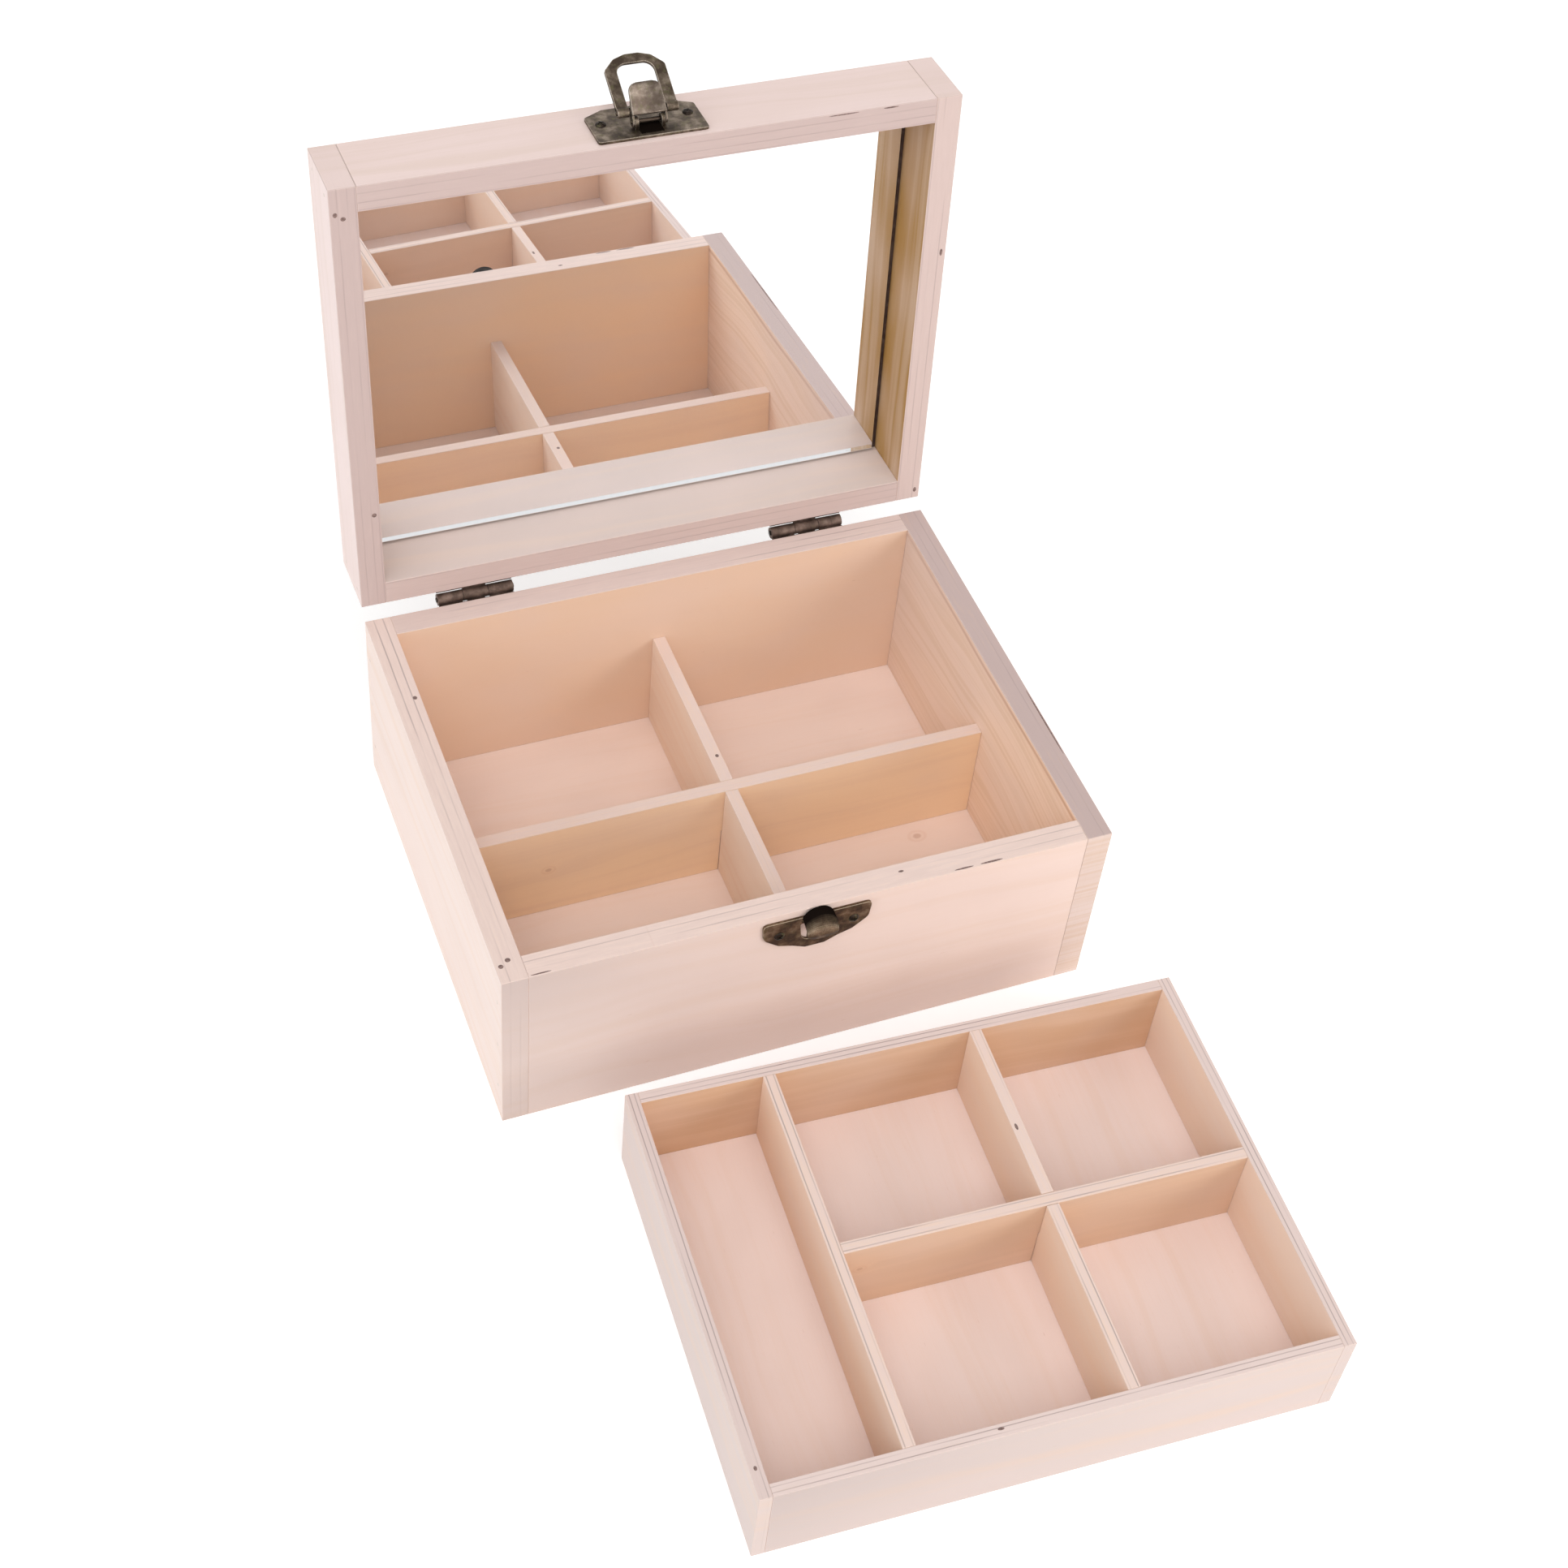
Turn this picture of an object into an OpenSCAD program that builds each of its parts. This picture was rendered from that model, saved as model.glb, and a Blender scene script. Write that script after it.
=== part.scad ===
// Wooden vanity box: compartmented base, hinged lid with a mirror, toggle latch, lift-out divided tray.
// The box stands on the XY plane with its footprint centred on the origin, +X right, +Y back, +Z up.
// The lid is drawn open and the tray stands on the surface in front of the box.

/* [Base] */
// Outer width of base and lid, left to right
box_width = 200; // [170:1:260]
// Outer depth of base and lid, front to back
box_depth = 157; // [130:1:210]
// Height of the base from the surface to its rim
base_height = 70.5; // [58:0.5:100]
// Thickness of the walls of base and lid
wall = 8.5; // [7.5:0.25:12]
// Thickness of the base's bottom panel
bottom_thick = 3; // [2:0.5:5]
// Depth of the rebate that holds a panel in the walls
rebate = 4; // [2:0.5:6]

/* [Base dividers] */
// Thickness of the base dividers
divider_thick = 4.5; // [3:0.5:8]
// Height of the base dividers' top edge above the surface
divider_top = 43; // [25:0.5:50]
// Clear width of the left-hand bays
left_bay = 90; // [60:0.5:110]
// Clear depth of the front bays
front_bay = 66; // [50:0.5:80]
// Play of the halved joint between two dividers
lap_gap = 0.1; // [0.05:0.05:0.3]

/* [Lid] */
// Height of the lid from its rim to its top
lid_height = 24.5; // [23:0.5:40]
// Thickness of the lid's top panel
panel_thick = 3; // [2:0.5:4]
// Angle of the lid drawn open, from closed
lid_open = 94; // [80:1:95]
// Seam between the closed lid and the base
rim_seam = 0.2; // [0.1:0.05:0.5]
// Thickness of the mirror glass
mirror_thick = 2; // [1.5:0.5:3]
// Gap between the mirror's edge and the lid's walls
mirror_edge_gap = 0.5; // [0.2:0.1:2]
// Thickness of the mirror's adhesive tape
tape_thick = 0.4; // [0.2:0.1:1]
// Width of a strip of the mirror's tape
tape_width = 20; // [10:1:30]

/* [Hinges] */
// Length of a hinge leaf
leaf_length = 26; // [20:1:34]
// Height of a hinge leaf, from the pin's axis to its free edge
leaf_height = 14; // [12:0.5:18]
// Thickness of the hinge sheet
leaf_thick = 0.9; // [0.6:0.1:1]
// Distance of the pin's axis behind the back wall
pin_offset = 3.15; // [3.1:0.05:4]
// Radius of the hinge knuckles
knuckle_r = 2; // [1.6:0.1:2.1]
// Radius of the hinge pin
hinge_pin_r = 0.8; // [0.5:0.1:1]
// Distance of the left hinge from the box's left side
hinge_inset_left = 25.4; // [22:0.2:40]
// Distance of the right hinge from the box's right side
hinge_inset_right = 29.6; // [22:0.2:40]
// Distance between the two screws of a leaf
leaf_screw_pitch = 15; // [10:0.5:16]
// Height of a leaf's screws from the pin's axis
leaf_screw_height = 8; // [6.5:0.5:9]

/* [Latch] */
// Width of the latch plate on the lid
hasp_width = 35; // [33:0.5:44]
// Height of the latch plate on the lid
hasp_height = 18; // [17:0.5:20]
// Distance of the latch plate from the lid's rim
hasp_lift = 2; // [1:0.5:3]
// Thickness of the latch plates
plate_thick = 1; // [0.6:0.1:1.1]
// Height of the lever's pin above the latch plate's lower edge
lever_pin_height = 5.5; // [4.5:0.5:6.5]
// Distance of the lever's pin from the wall
lever_pin_out = 3; // [2.9:0.1:3.5]
// Radius of the latch pins
latch_pin_r = 0.7; // [0.5:0.05:0.8]
// Width of the lever
lever_width = 12.5; // [11:0.5:13]
// Length of the lever from its pin to its tip
lever_length = 11; // [9:0.5:12]
// Thickness of the lever
lever_thick = 1.2; // [0.8:0.1:1.5]
// Angle of the lever as drawn, from hanging straight down
lever_angle = 113; // [100:1:130]
// Angle of the lever when it is shut
lever_shut_angle = 172; // [168:1:174]
// Distance between the lever's pin and the ring's pin
ring_pin_reach = 3; // [2.8:0.1:3.4]
// Angle from the lever's length to the ring's pin, towards the plate
ring_pin_turn = 13; // [8:1:16]
// Outer width of the ring
ring_width = 20.8; // [20.5:0.1:24]
// Width of the ring's legs
ring_leg = 3.7; // [2.5:0.1:3.8]
// Width of the ring's end bar
ring_bar = 3; // [2:0.1:4]
// Length of the ring from its pin to its end
ring_length = 18.9; // [17:0.1:22]
// Thickness of the ring
ring_thick = 1.2; // [0.8:0.1:1.4]
// Radius of the ring's outer corners
ring_corner = 5; // [3:0.5:6]
// Angle of the ring as drawn, from hanging straight down
ring_angle = 150; // [140:1:160]
// Width of the catch plate
catch_width = 36; // [33:0.5:44]
// Height of the catch plate
catch_height = 17.5; // [16:0.5:22]
// Width of the catch's hook
hook_width = 9; // [6:0.5:11]
// Thickness of the catch's hook
hook_thick = 0.95; // [0.8:0.05:1.2]
// Inner radius of the catch's hook
hook_inner_r = 1.65; // [1.6:0.05:1.9]
// Height of the play between the hooked ring and the hook
hook_slack = 0.6; // [0.5:0.05:0.9]

/* [Screws and pins] */
// Radius of the screws' shanks
screw_r = 0.8; // [0.6:0.05:1]
// Length of the screws in the wood
screw_length = 6; // [4:0.5:7]
// Radius of the screws' heads
screw_head_r = 1.7; // [1.4:0.1:1.8]
// Height of the screws' heads
screw_head_h = 0.7; // [0.5:0.1:0.9]
// Radius of the wire pins in the box's corners
brad_r = 0.6; // [0.4:0.05:0.8]
// Length of the wire pins in the box's corners
brad_length = 20; // [14:1:21]
// Radius of the wire pins in the tray's corners
tray_brad_r = 0.4; // [0.3:0.05:0.6]
// Length of the wire pins in the tray's corners
tray_brad_length = 14; // [10:1:18]
// Radial play of every pin and screw in its hole
hole_play = 0.05; // [0.02:0.01:0.1]

/* [Tray] */
// Outer width of the tray
tray_width = 180; // [150:1:240]
// Outer depth of the tray
tray_depth = 136; // [110:1:190]
// Outer height of the tray
tray_height = 34; // [22:0.5:34]
// Thickness of the tray's walls
tray_wall = 4; // [3:0.25:6]
// Thickness of the tray's floor
tray_floor_thick = 3; // [2:0.5:4]
// Depth of the rebate that holds the tray's floor
tray_rebate = 2; // [1:0.25:2.5]
// Thickness of the tray's dividers
tray_divider_thick = 4; // [3:0.25:6]
// Clear width of the tray's long left-hand bay
tray_long_bay = 38.5; // [25:0.5:45]
// Clear width of the tray's middle bays
tray_middle_bay = 63.5; // [40:0.5:75]
// Clear depth of the tray's front bays
tray_front_bay = 62.5; // [40:0.5:70]
// Clear distance between the base's front and the tray
tray_distance = 29; // [24:0.5:60]
// Sideways place of the tray's centre
tray_shift = 17.5; // [-30:0.5:30]
// Turn of the tray on the surface, clockwise from above
tray_turn = 3; // [0:0.5:8]

/* [Hidden] */
$fn = 48;

// Colours
outside_wood = "#ecdcd0";
inside_wood = "#e3c3a4";
panel_wood = "#ead0bc";
aged_bronze = "#6e6055";
dark_bronze = "#4c4038";
glass_silver = "#cfd8dc";
tape_white = "#f1efe8";
pin_steel = "#b9b4ac";

// Past the surface of a part that a cut goes through
past = 1;

// Inside of the box
inner_width = box_width - 2 * wall;
inner_depth = box_depth - 2 * wall;
panel_width = inner_width + 2 * rebate;
panel_depth = inner_depth + 2 * rebate;
divider_height = divider_top - bottom_thick;
divider_x = -inner_width / 2 + left_bay + divider_thick / 2;
divider_y = -inner_depth / 2 + front_bay + divider_thick / 2;

// Closed lid, in the box's own frame
lid_rim = base_height + rim_seam;
hinge_axis_y = box_depth / 2 + pin_offset;
hinge_axis_z = base_height + rim_seam / 2;
mirror_width = inner_width - 2 * mirror_edge_gap;
mirror_depth = inner_depth - 2 * mirror_edge_gap;
mirror_bottom = lid_rim + lid_height - panel_thick - tape_thick - mirror_thick;
mirror_tapes = 3;

// Corner pins: how many stand above each other, and how high they start and end in the wall
base_brads = 3;
lid_brads = 2;
tray_brads = 2;
brad_margin = 0.2;

// Hinges
knuckle_gap = 0.15;
knuckle_length = (leaf_length - 2 * knuckle_gap) / 3;
leaf_edge_gap = 0.8;
web_thick = 1;
web_drop = 0.2;
web_inset = 0.3;
web_reach = pin_offset - knuckle_r / 4;
hinge_pin_length = leaf_length + 0.8;
left_hinge_x = -box_width / 2 + hinge_inset_left + leaf_length / 2;
right_hinge_x = box_width / 2 - hinge_inset_right - leaf_length / 2;
stop_width = knuckle_length * 0.7;
stop_thick = 1;
stop_gap = 0.15;
stop_drop = 1.3;

// Screws
screw_tip = 1.5;
slot_width = 0.4;
slot_depth = 0.3;

// Latch, closed: heights are from the lid's rim, distances are outward from the front wall
lever_pin_up = hasp_lift + lever_pin_height;
boss_r = latch_pin_r + 0.9;
ear_thick = 1.2;
cheek_thick = 1.25;
side_gap = 0.2;
leg_gap = 0.45;
ear_outer = lever_width / 2 - cheek_thick - side_gap;
ring_pin_n = -ring_pin_reach * sin(ring_pin_turn);
ring_pin_s = ring_pin_reach * cos(ring_pin_turn);
ring_boss_r = latch_pin_r + 0.6;
lever_underside = latch_pin_r + 0.2;
lever_root = boss_r + 0.35;
lever_bend_at = 0.6;
lever_bend_r = 8;
lever_tip_r = 2.5;
hasp_screw_x = hasp_width / 2 - 3.7;
hasp_screw_up = hasp_lift + 9.8;
hasp_chamfer = 3.2;
hasp_corner = 1.2;
ring_hole = ring_width - 2 * ring_leg;
ring_eye_r = latch_pin_r + 0.8;
ring_bend = 4.2;

// Where the ring's pin and end bar lie when the latch is shut, with the ring hanging straight down
shut_turn = lever_shut_angle + ring_pin_turn;
shut_pin_up = lever_pin_up - ring_pin_reach * cos(shut_turn);
shut_bar_up = shut_pin_up - ring_length + ring_bar + rim_seam;
hook_out = plate_thick + hook_inner_r;
hook_up = shut_bar_up + hook_slack - hook_inner_r;
hook_r = hook_inner_r + hook_thick;
hook_drop = ring_bar;
catch_top = hook_up + hook_r + 1.2;
catch_screw_x = catch_width / 2 - 5.7;
catch_screw_drop = 6.5;

// Tray, in its own frame: origin on the surface at its footprint's centre
tray_inner_width = tray_width - 2 * tray_wall;
tray_inner_depth = tray_depth - 2 * tray_wall;
tray_floor_width = tray_inner_width + 2 * tray_rebate;
tray_floor_depth = tray_inner_depth + 2 * tray_rebate;
tray_left_x = -tray_inner_width / 2 + tray_long_bay + tray_divider_thick / 2;
tray_right_x = tray_left_x + tray_divider_thick + tray_middle_bay;
tray_cross_y = -tray_inner_depth / 2 + tray_front_bay + tray_divider_thick / 2;
tray_divider_height = tray_height - tray_floor_thick;
tray_place_y = -box_depth / 2 - tray_distance - tray_depth / 2;

// Placing

// The lid's pieces are drawn closed and turned open about the hinge pins
module opened() {
    translate([0, hinge_axis_y, hinge_axis_z])
        rotate([-lid_open, 0, 0])
            translate([0, -hinge_axis_y, -hinge_axis_z])
                children();
}

// The tray's place on the surface
module in_tray() {
    translate([tray_shift, tray_place_y, 0])
        rotate([0, 0, -tray_turn])
            children();
}

// Front of the closed lid, its origin at the lid's rim on the wall's face
module on_lid_front() {
    opened()
        translate([0, -box_depth / 2, lid_rim])
            children();
}

// Axis of the lever's pin
module at_lever_pin() {
    on_lid_front()
        translate([0, -lever_pin_out, lever_pin_up])
            children();
}

// The lever's own frame: it is drawn standing up against the plate and turned to its angle
module on_lever() {
    at_lever_pin()
        rotate([180 - lever_angle, 0, 0])
            children();
}

// Axis of the ring's pin, still in the lever's frame
module at_ring_pin() {
    on_lever()
        translate([0, -ring_pin_n, ring_pin_s])
            children();
}

// The ring's own frame: it is drawn hanging straight down and turned to its angle
module on_ring() {
    at_ring_pin()
        rotate([lever_angle - 180 - ring_angle, 0, 0])
            children();
}

// Front of the base, its origin at the rim on the wall's face
module on_base_front() {
    translate([0, -box_depth / 2, base_height])
        children();
}

// Shared shapes

// A profile drawn as [outward, up], drawn out along X and centred on it
module along_x(length) {
    rotate([90, 0, -90])
        linear_extrude(height = length, center = true)
            children();
}

// A plate drawn as [right, up], from the face outward by its thickness
module on_face(thick) {
    rotate([90, 0, 0])
        linear_extrude(height = thick)
            children();
}

// A round bar or hole along X
module rod_x(radius, length) {
    rotate([0, 90, 0])
        cylinder(r = radius, h = length, center = true);
}

// A wire pin or its hole, from a side face inward: side is -1 for left and 1 for right
module side_rod(side, radius, length, half_width) {
    translate([side * (half_width - length / 2), 0, 0])
        rod_x(radius, length);
}

// All the corner pins of one side of a box with its bottom at z = 0
module side_brads(side, radius, length, half_width, row_y, height, count) {
    for (end = [-1, 1], i = [0 : count - 1])
        translate([0, end * row_y, height * (brad_margin + (1 - 2 * brad_margin) * i / (count - 1))])
            side_rod(side, radius, length, half_width);
}

// A rectangle with rounded corners
module rounded(size, radius) {
    for (dx = [radius, size[0] - radius], dy = [radius, size[1] - radius])
        translate([dx, dy])
            circle(r = radius);
    translate([radius, 0])
        square([size[0] - 2 * radius, size[1]]);
    translate([0, radius])
        square([size[0], size[1] - 2 * radius]);
}

// A screw with its head on the face y = 0 and its shank along +Y
module screw() {
    rotate([-90, 0, 0])
        difference() {
            union() {
                cylinder(r = screw_r, h = screw_length - screw_tip);
                translate([0, 0, screw_length - screw_tip])
                    cylinder(r1 = screw_r, r2 = 0.15, h = screw_tip);
                translate([0, 0, -screw_head_h])
                    cylinder(r1 = screw_head_r - 0.4, r2 = screw_head_r, h = screw_head_h);
            }
            for (turn = [0, 90])
                rotate([0, 0, turn])
                    translate([-screw_head_r * 0.65, -slot_width / 2, -screw_head_h - past])
                        cube([screw_head_r * 1.3, slot_width, slot_depth + past]);
        }
}

// The hole of a screw, through a plate and into the wood
module screw_hole() {
    translate([0, -past - plate_thick, 0])
        rotate([-90, 0, 0])
            cylinder(r = screw_r + hole_play, h = screw_length + past + 2 * plate_thick);
}

// The four walls of an open frame with its bottom at z = 0

// A wall between the side walls; end is -1 for the front and 1 for the back
module end_wall(width, depth, thick, height, end) {
    translate([-width / 2 + thick, end > 0 ? depth / 2 - thick : -depth / 2, 0])
        cube([width - 2 * thick, thick, height]);
}

// A side wall over the full depth; side is -1 for the left and 1 for the right
module side_wall(width, depth, thick, height, side) {
    translate([side > 0 ? width / 2 - thick : -width / 2, -depth / 2, 0])
        cube([thick, depth, height]);
}

// A panel centred on the origin
module centred_panel(width, depth, thick) {
    translate([-width / 2, -depth / 2, 0])
        cube([width, depth, thick]);
}

// Base

module base_panel_space() {
    translate([0, 0, -past])
        centred_panel(panel_width, panel_depth, bottom_thick + past);
}

module base_brad_rods(side, radius, extra) {
    side_brads(side, radius, brad_length + extra, box_width / 2 + extra / 2,
        (box_depth - wall) / 2, base_height, base_brads);
}

module base_end_wall(end) {
    difference() {
        end_wall(box_width, box_depth, wall, base_height, end);
        base_panel_space();
        for (side = [-1, 1])
            base_brad_rods(side, brad_r + hole_play, hole_play);
        if (end < 0)
            catch_screw_places() screw_hole();
        else
            base_leaf_screw_places() screw_hole();
    }
}

module base_front_wall() {
    color(outside_wood) base_end_wall(-1);
}

module base_back_wall() {
    color(outside_wood) base_end_wall(1);
}

module base_side_wall(side) {
    difference() {
        side_wall(box_width, box_depth, wall, base_height, side);
        base_panel_space();
        base_brad_rods(side, brad_r + hole_play, hole_play);
    }
}

module base_left_wall() {
    color(outside_wood) base_side_wall(-1);
}

module base_right_wall() {
    color(outside_wood) base_side_wall(1);
}

module base_bottom_panel() {
    color(panel_wood) centred_panel(panel_width, panel_depth, bottom_thick);
}

// Runs front to back, with its halving cut from above
module base_long_divider() {
    color(inside_wood)
        difference() {
            translate([divider_x - divider_thick / 2, -inner_depth / 2, bottom_thick])
                cube([divider_thick, inner_depth, divider_height]);
            translate([divider_x - divider_thick / 2 - past,
                    divider_y - divider_thick / 2 - lap_gap, bottom_thick + divider_height / 2])
                cube([divider_thick + 2 * past, divider_thick + 2 * lap_gap, divider_height]);
        }
}

// Runs left to right, with its halving cut from below
module base_cross_divider() {
    color(inside_wood)
        difference() {
            translate([-inner_width / 2, divider_y - divider_thick / 2, bottom_thick])
                cube([inner_width, divider_thick, divider_height]);
            translate([divider_x - divider_thick / 2 - lap_gap,
                    divider_y - divider_thick / 2 - past, bottom_thick - past])
                cube([divider_thick + 2 * lap_gap, divider_thick + 2 * past, divider_height / 2 + past]);
        }
}

module base_corner_pins() {
    color(pin_steel)
        for (side = [-1, 1])
            base_brad_rods(side, brad_r, 0);
}

// Lid, drawn closed

module lid_panel_space() {
    translate([0, 0, lid_rim + lid_height - panel_thick])
        centred_panel(panel_width, panel_depth, panel_thick + past);
}

module lid_brad_rods(side, radius, extra) {
    translate([0, 0, lid_rim])
        side_brads(side, radius, brad_length + extra, box_width / 2 + extra / 2,
            (box_depth - wall) / 2, lid_height, lid_brads);
}

module lid_end_wall(end) {
    difference() {
        translate([0, 0, lid_rim])
            end_wall(box_width, box_depth, wall, lid_height, end);
        lid_panel_space();
        for (side = [-1, 1])
            lid_brad_rods(side, brad_r + hole_play, hole_play);
        if (end > 0)
            lid_leaf_screw_places() screw_hole();
        else
            latch_screw_places() screw_hole();
    }
}

module lid_front_wall() {
    color(outside_wood) opened() lid_end_wall(-1);
}

module lid_back_wall() {
    color(outside_wood) opened() lid_end_wall(1);
}

module lid_side_wall(side) {
    difference() {
        translate([0, 0, lid_rim])
            side_wall(box_width, box_depth, wall, lid_height, side);
        lid_panel_space();
        lid_brad_rods(side, brad_r + hole_play, hole_play);
    }
}

module lid_left_wall() {
    color(outside_wood) opened() lid_side_wall(-1);
}

module lid_right_wall() {
    color(outside_wood) opened() lid_side_wall(1);
}

module lid_top_panel() {
    color(panel_wood)
        opened()
            translate([0, 0, lid_rim + lid_height - panel_thick])
                centred_panel(panel_width, panel_depth, panel_thick);
}

module mirror_glass() {
    color(glass_silver)
        opened()
            translate([0, 0, mirror_bottom])
                centred_panel(mirror_width, mirror_depth, mirror_thick);
}

// Strips from front to back between the mirror and the top panel
module mirror_tape() {
    color(tape_white)
        opened()
            for (i = [0 : mirror_tapes - 1])
                translate([mirror_width * ((i + 0.5) / mirror_tapes - 0.5), 0, mirror_bottom + mirror_thick])
                    centred_panel(tape_width, mirror_depth * 0.9, tape_thick);
}

module lid_corner_pins() {
    color(pin_steel)
        opened()
            for (side = [-1, 1])
                lid_brad_rods(side, brad_r, 0);
}

// Hinges

// The place of a hinge's pin
module at_hinge(x) {
    translate([x, hinge_axis_y, hinge_axis_z])
        children();
}

// The flat of a leaf on the back wall, below the pin's axis, and the web out to the knuckles
module leaf_sheet(knuckles) {
    translate([-leaf_length / 2, -pin_offset, -leaf_height])
        cube([leaf_length, leaf_thick, leaf_height - leaf_edge_gap]);
    for (x = knuckles)
        translate([x - knuckle_length / 2 + web_inset, -pin_offset, web_drop - knuckle_r])
            cube([knuckle_length - 2 * web_inset, web_reach, web_thick]);
}

module leaf_knuckles(knuckles) {
    for (x = knuckles)
        translate([x, 0, 0])
            rod_x(knuckle_r, knuckle_length);
}

// Cuts of a leaf: the pin's bore and the screws' holes
module leaf_cuts() {
    rod_x(hinge_pin_r + hole_play, leaf_length + 2 * past);
    for (side = [-1, 1])
        translate([side * leaf_screw_pitch / 2, -pin_offset - past, -leaf_screw_height])
            rotate([-90, 0, 0])
                cylinder(r = screw_r + hole_play, h = leaf_thick + 2 * past);
}

outer_knuckles = [-knuckle_length - knuckle_gap, knuckle_length + knuckle_gap];
middle_knuckle = [0];

module base_leaf() {
    color(aged_bronze)
        difference() {
            union() {
                leaf_sheet(outer_knuckles);
                leaf_knuckles(outer_knuckles);
            }
            leaf_cuts();
        }
}

// The same leaf turned upside down, with the middle knuckle and the stop that meets the base leaf
module lid_leaf() {
    color(aged_bronze)
        difference() {
            union() {
                mirror([0, 0, 1]) {
                    leaf_sheet(middle_knuckle);
                    leaf_knuckles(middle_knuckle);
                }
                rotate([lid_open, 0, 0])
                    leaf_stop();
            }
            mirror([0, 0, 1])
                leaf_cuts();
        }
}

// Drawn as it stands with the lid open, against the outer face of the base leaf
module leaf_stop() {
    translate([-stop_width / 2, -pin_offset + leaf_thick + stop_gap, -stop_drop - stop_thick / 2])
        cube([stop_width, web_reach - leaf_thick - stop_gap, stop_thick]);
}

module left_hinge_base_leaf() {
    at_hinge(left_hinge_x) base_leaf();
}

module right_hinge_base_leaf() {
    at_hinge(right_hinge_x) base_leaf();
}

module left_hinge_lid_leaf() {
    opened() at_hinge(left_hinge_x) lid_leaf();
}

module right_hinge_lid_leaf() {
    opened() at_hinge(right_hinge_x) lid_leaf();
}

module hinge_pin() {
    color(dark_bronze) rod_x(hinge_pin_r, hinge_pin_length);
}

module left_hinge_pin() {
    at_hinge(left_hinge_x) hinge_pin();
}

module right_hinge_pin() {
    at_hinge(right_hinge_x) hinge_pin();
}

// Screws of the leaves: they enter the back wall from behind
module leaf_screw_places(direction) {
    for (x = [left_hinge_x, right_hinge_x], side = [-1, 1])
        translate([x + side * leaf_screw_pitch / 2, box_depth / 2 + leaf_thick,
                hinge_axis_z + direction * leaf_screw_height])
            rotate([0, 0, 180])
                children();
}

module base_leaf_screw_places() {
    leaf_screw_places(-1) children();
}

module lid_leaf_screw_places() {
    leaf_screw_places(1) children();
}

module hinge_base_screws() {
    color(dark_bronze) base_leaf_screw_places() screw();
}

module hinge_lid_screws() {
    color(dark_bronze) opened() lid_leaf_screw_places() screw();
}

// Latch

// The outline of the latch plate: a rectangle with cut upper corners
module hasp_outline() {
    half = hasp_width / 2;
    top = hasp_lift + hasp_height;
    polygon([
        [-half + hasp_corner, hasp_lift],
        [half - hasp_corner, hasp_lift],
        [half, hasp_lift + hasp_corner],
        [half, top - hasp_chamfer],
        [half - 2 * hasp_chamfer, top],
        [-half + 2 * hasp_chamfer, top],
        [-half, top - hasp_chamfer],
        [-half, hasp_lift + hasp_corner]
    ]);
}

// An ear that carries the lever's pin, drawn as [outward, up]
module ear_profile() {
    translate([lever_pin_out, lever_pin_up])
        circle(r = boss_r);
    translate([plate_thick / 2, lever_pin_up - boss_r])
        square([lever_pin_out - plate_thick / 2, 2 * boss_r]);
}

module latch_plate() {
    color(aged_bronze)
        on_lid_front()
            difference() {
                union() {
                    on_face(plate_thick) hasp_outline();
                    for (side = [-1, 1])
                        translate([side * (ear_outer - ear_thick / 2), 0, 0])
                            along_x(ear_thick) ear_profile();
                }
                translate([0, -lever_pin_out, lever_pin_up])
                    rod_x(latch_pin_r + hole_play, lever_width);
                for (side = [-1, 1])
                    translate([side * hasp_screw_x, -plate_thick, hasp_screw_up])
                        screw_hole();
            }
}

// Drawn in the closed lid's place, for the front wall's holes
module latch_screw_places() {
    for (side = [-1, 1])
        translate([side * hasp_screw_x, -box_depth / 2 - plate_thick, lid_rim + hasp_screw_up])
            children();
}

module latch_plate_screws() {
    color(dark_bronze) opened() latch_screw_places() screw();
}

module lever_pin() {
    color(dark_bronze) at_lever_pin() rod_x(latch_pin_r, lever_width);
}

// A cheek of the lever, drawn as [outward, up] with the lever's pin at the origin
module cheek_profile() {
    circle(r = boss_r);
    translate([ring_pin_n, ring_pin_s])
        circle(r = ring_boss_r);
    polygon([
        [-boss_r, 0],
        [boss_r, 0],
        [lever_underside + lever_thick / 2, lever_root],
        [lever_underside + lever_thick / 2, lever_length * lever_bend_at],
        [lever_underside, lever_length * lever_bend_at],
        [ring_pin_n + ring_boss_r, ring_pin_s + ring_boss_r / 2],
        [ring_pin_n - ring_boss_r, ring_pin_s]
    ]);
}

// The lever's blade from the side: straight, then bent outward to its tip
module blade_profile() {
    bend_up = lever_length * lever_bend_at;
    translate([lever_underside, lever_root])
        square([lever_thick, bend_up - lever_root]);
    translate([lever_underside + lever_thick + lever_bend_r, bend_up])
        intersection() {
            difference() {
                circle(r = lever_bend_r + lever_thick);
                circle(r = lever_bend_r);
            }
            translate([-lever_bend_r - lever_thick - past, 0])
                square([lever_bend_r + lever_thick + past, lever_length - bend_up]);
        }
}

// The lever's blade from the front: square at its root, rounded at its tip
module blade_outline() {
    difference() {
        translate([-lever_width / 2, 0])
            rounded([lever_width, lever_length], lever_tip_r);
        translate([-lever_width / 2 - past, -past])
            square([lever_width + 2 * past, lever_root + past]);
    }
}

module latch_lever() {
    color(aged_bronze)
        on_lever()
            difference() {
                union() {
                    intersection() {
                        along_x(lever_width) blade_profile();
                        on_face(lever_bend_r + lever_length) blade_outline();
                    }
                    for (side = [-1, 1])
                        translate([side * (lever_width - cheek_thick) / 2, 0, 0])
                            along_x(cheek_thick) cheek_profile();
                }
                rod_x(latch_pin_r + hole_play, lever_width + past);
                translate([0, -ring_pin_n, ring_pin_s])
                    rod_x(latch_pin_r + hole_play, lever_width + past);
            }
}

module ring_pin() {
    color(dark_bronze) at_ring_pin() rod_x(latch_pin_r, ring_width);
}

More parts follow.
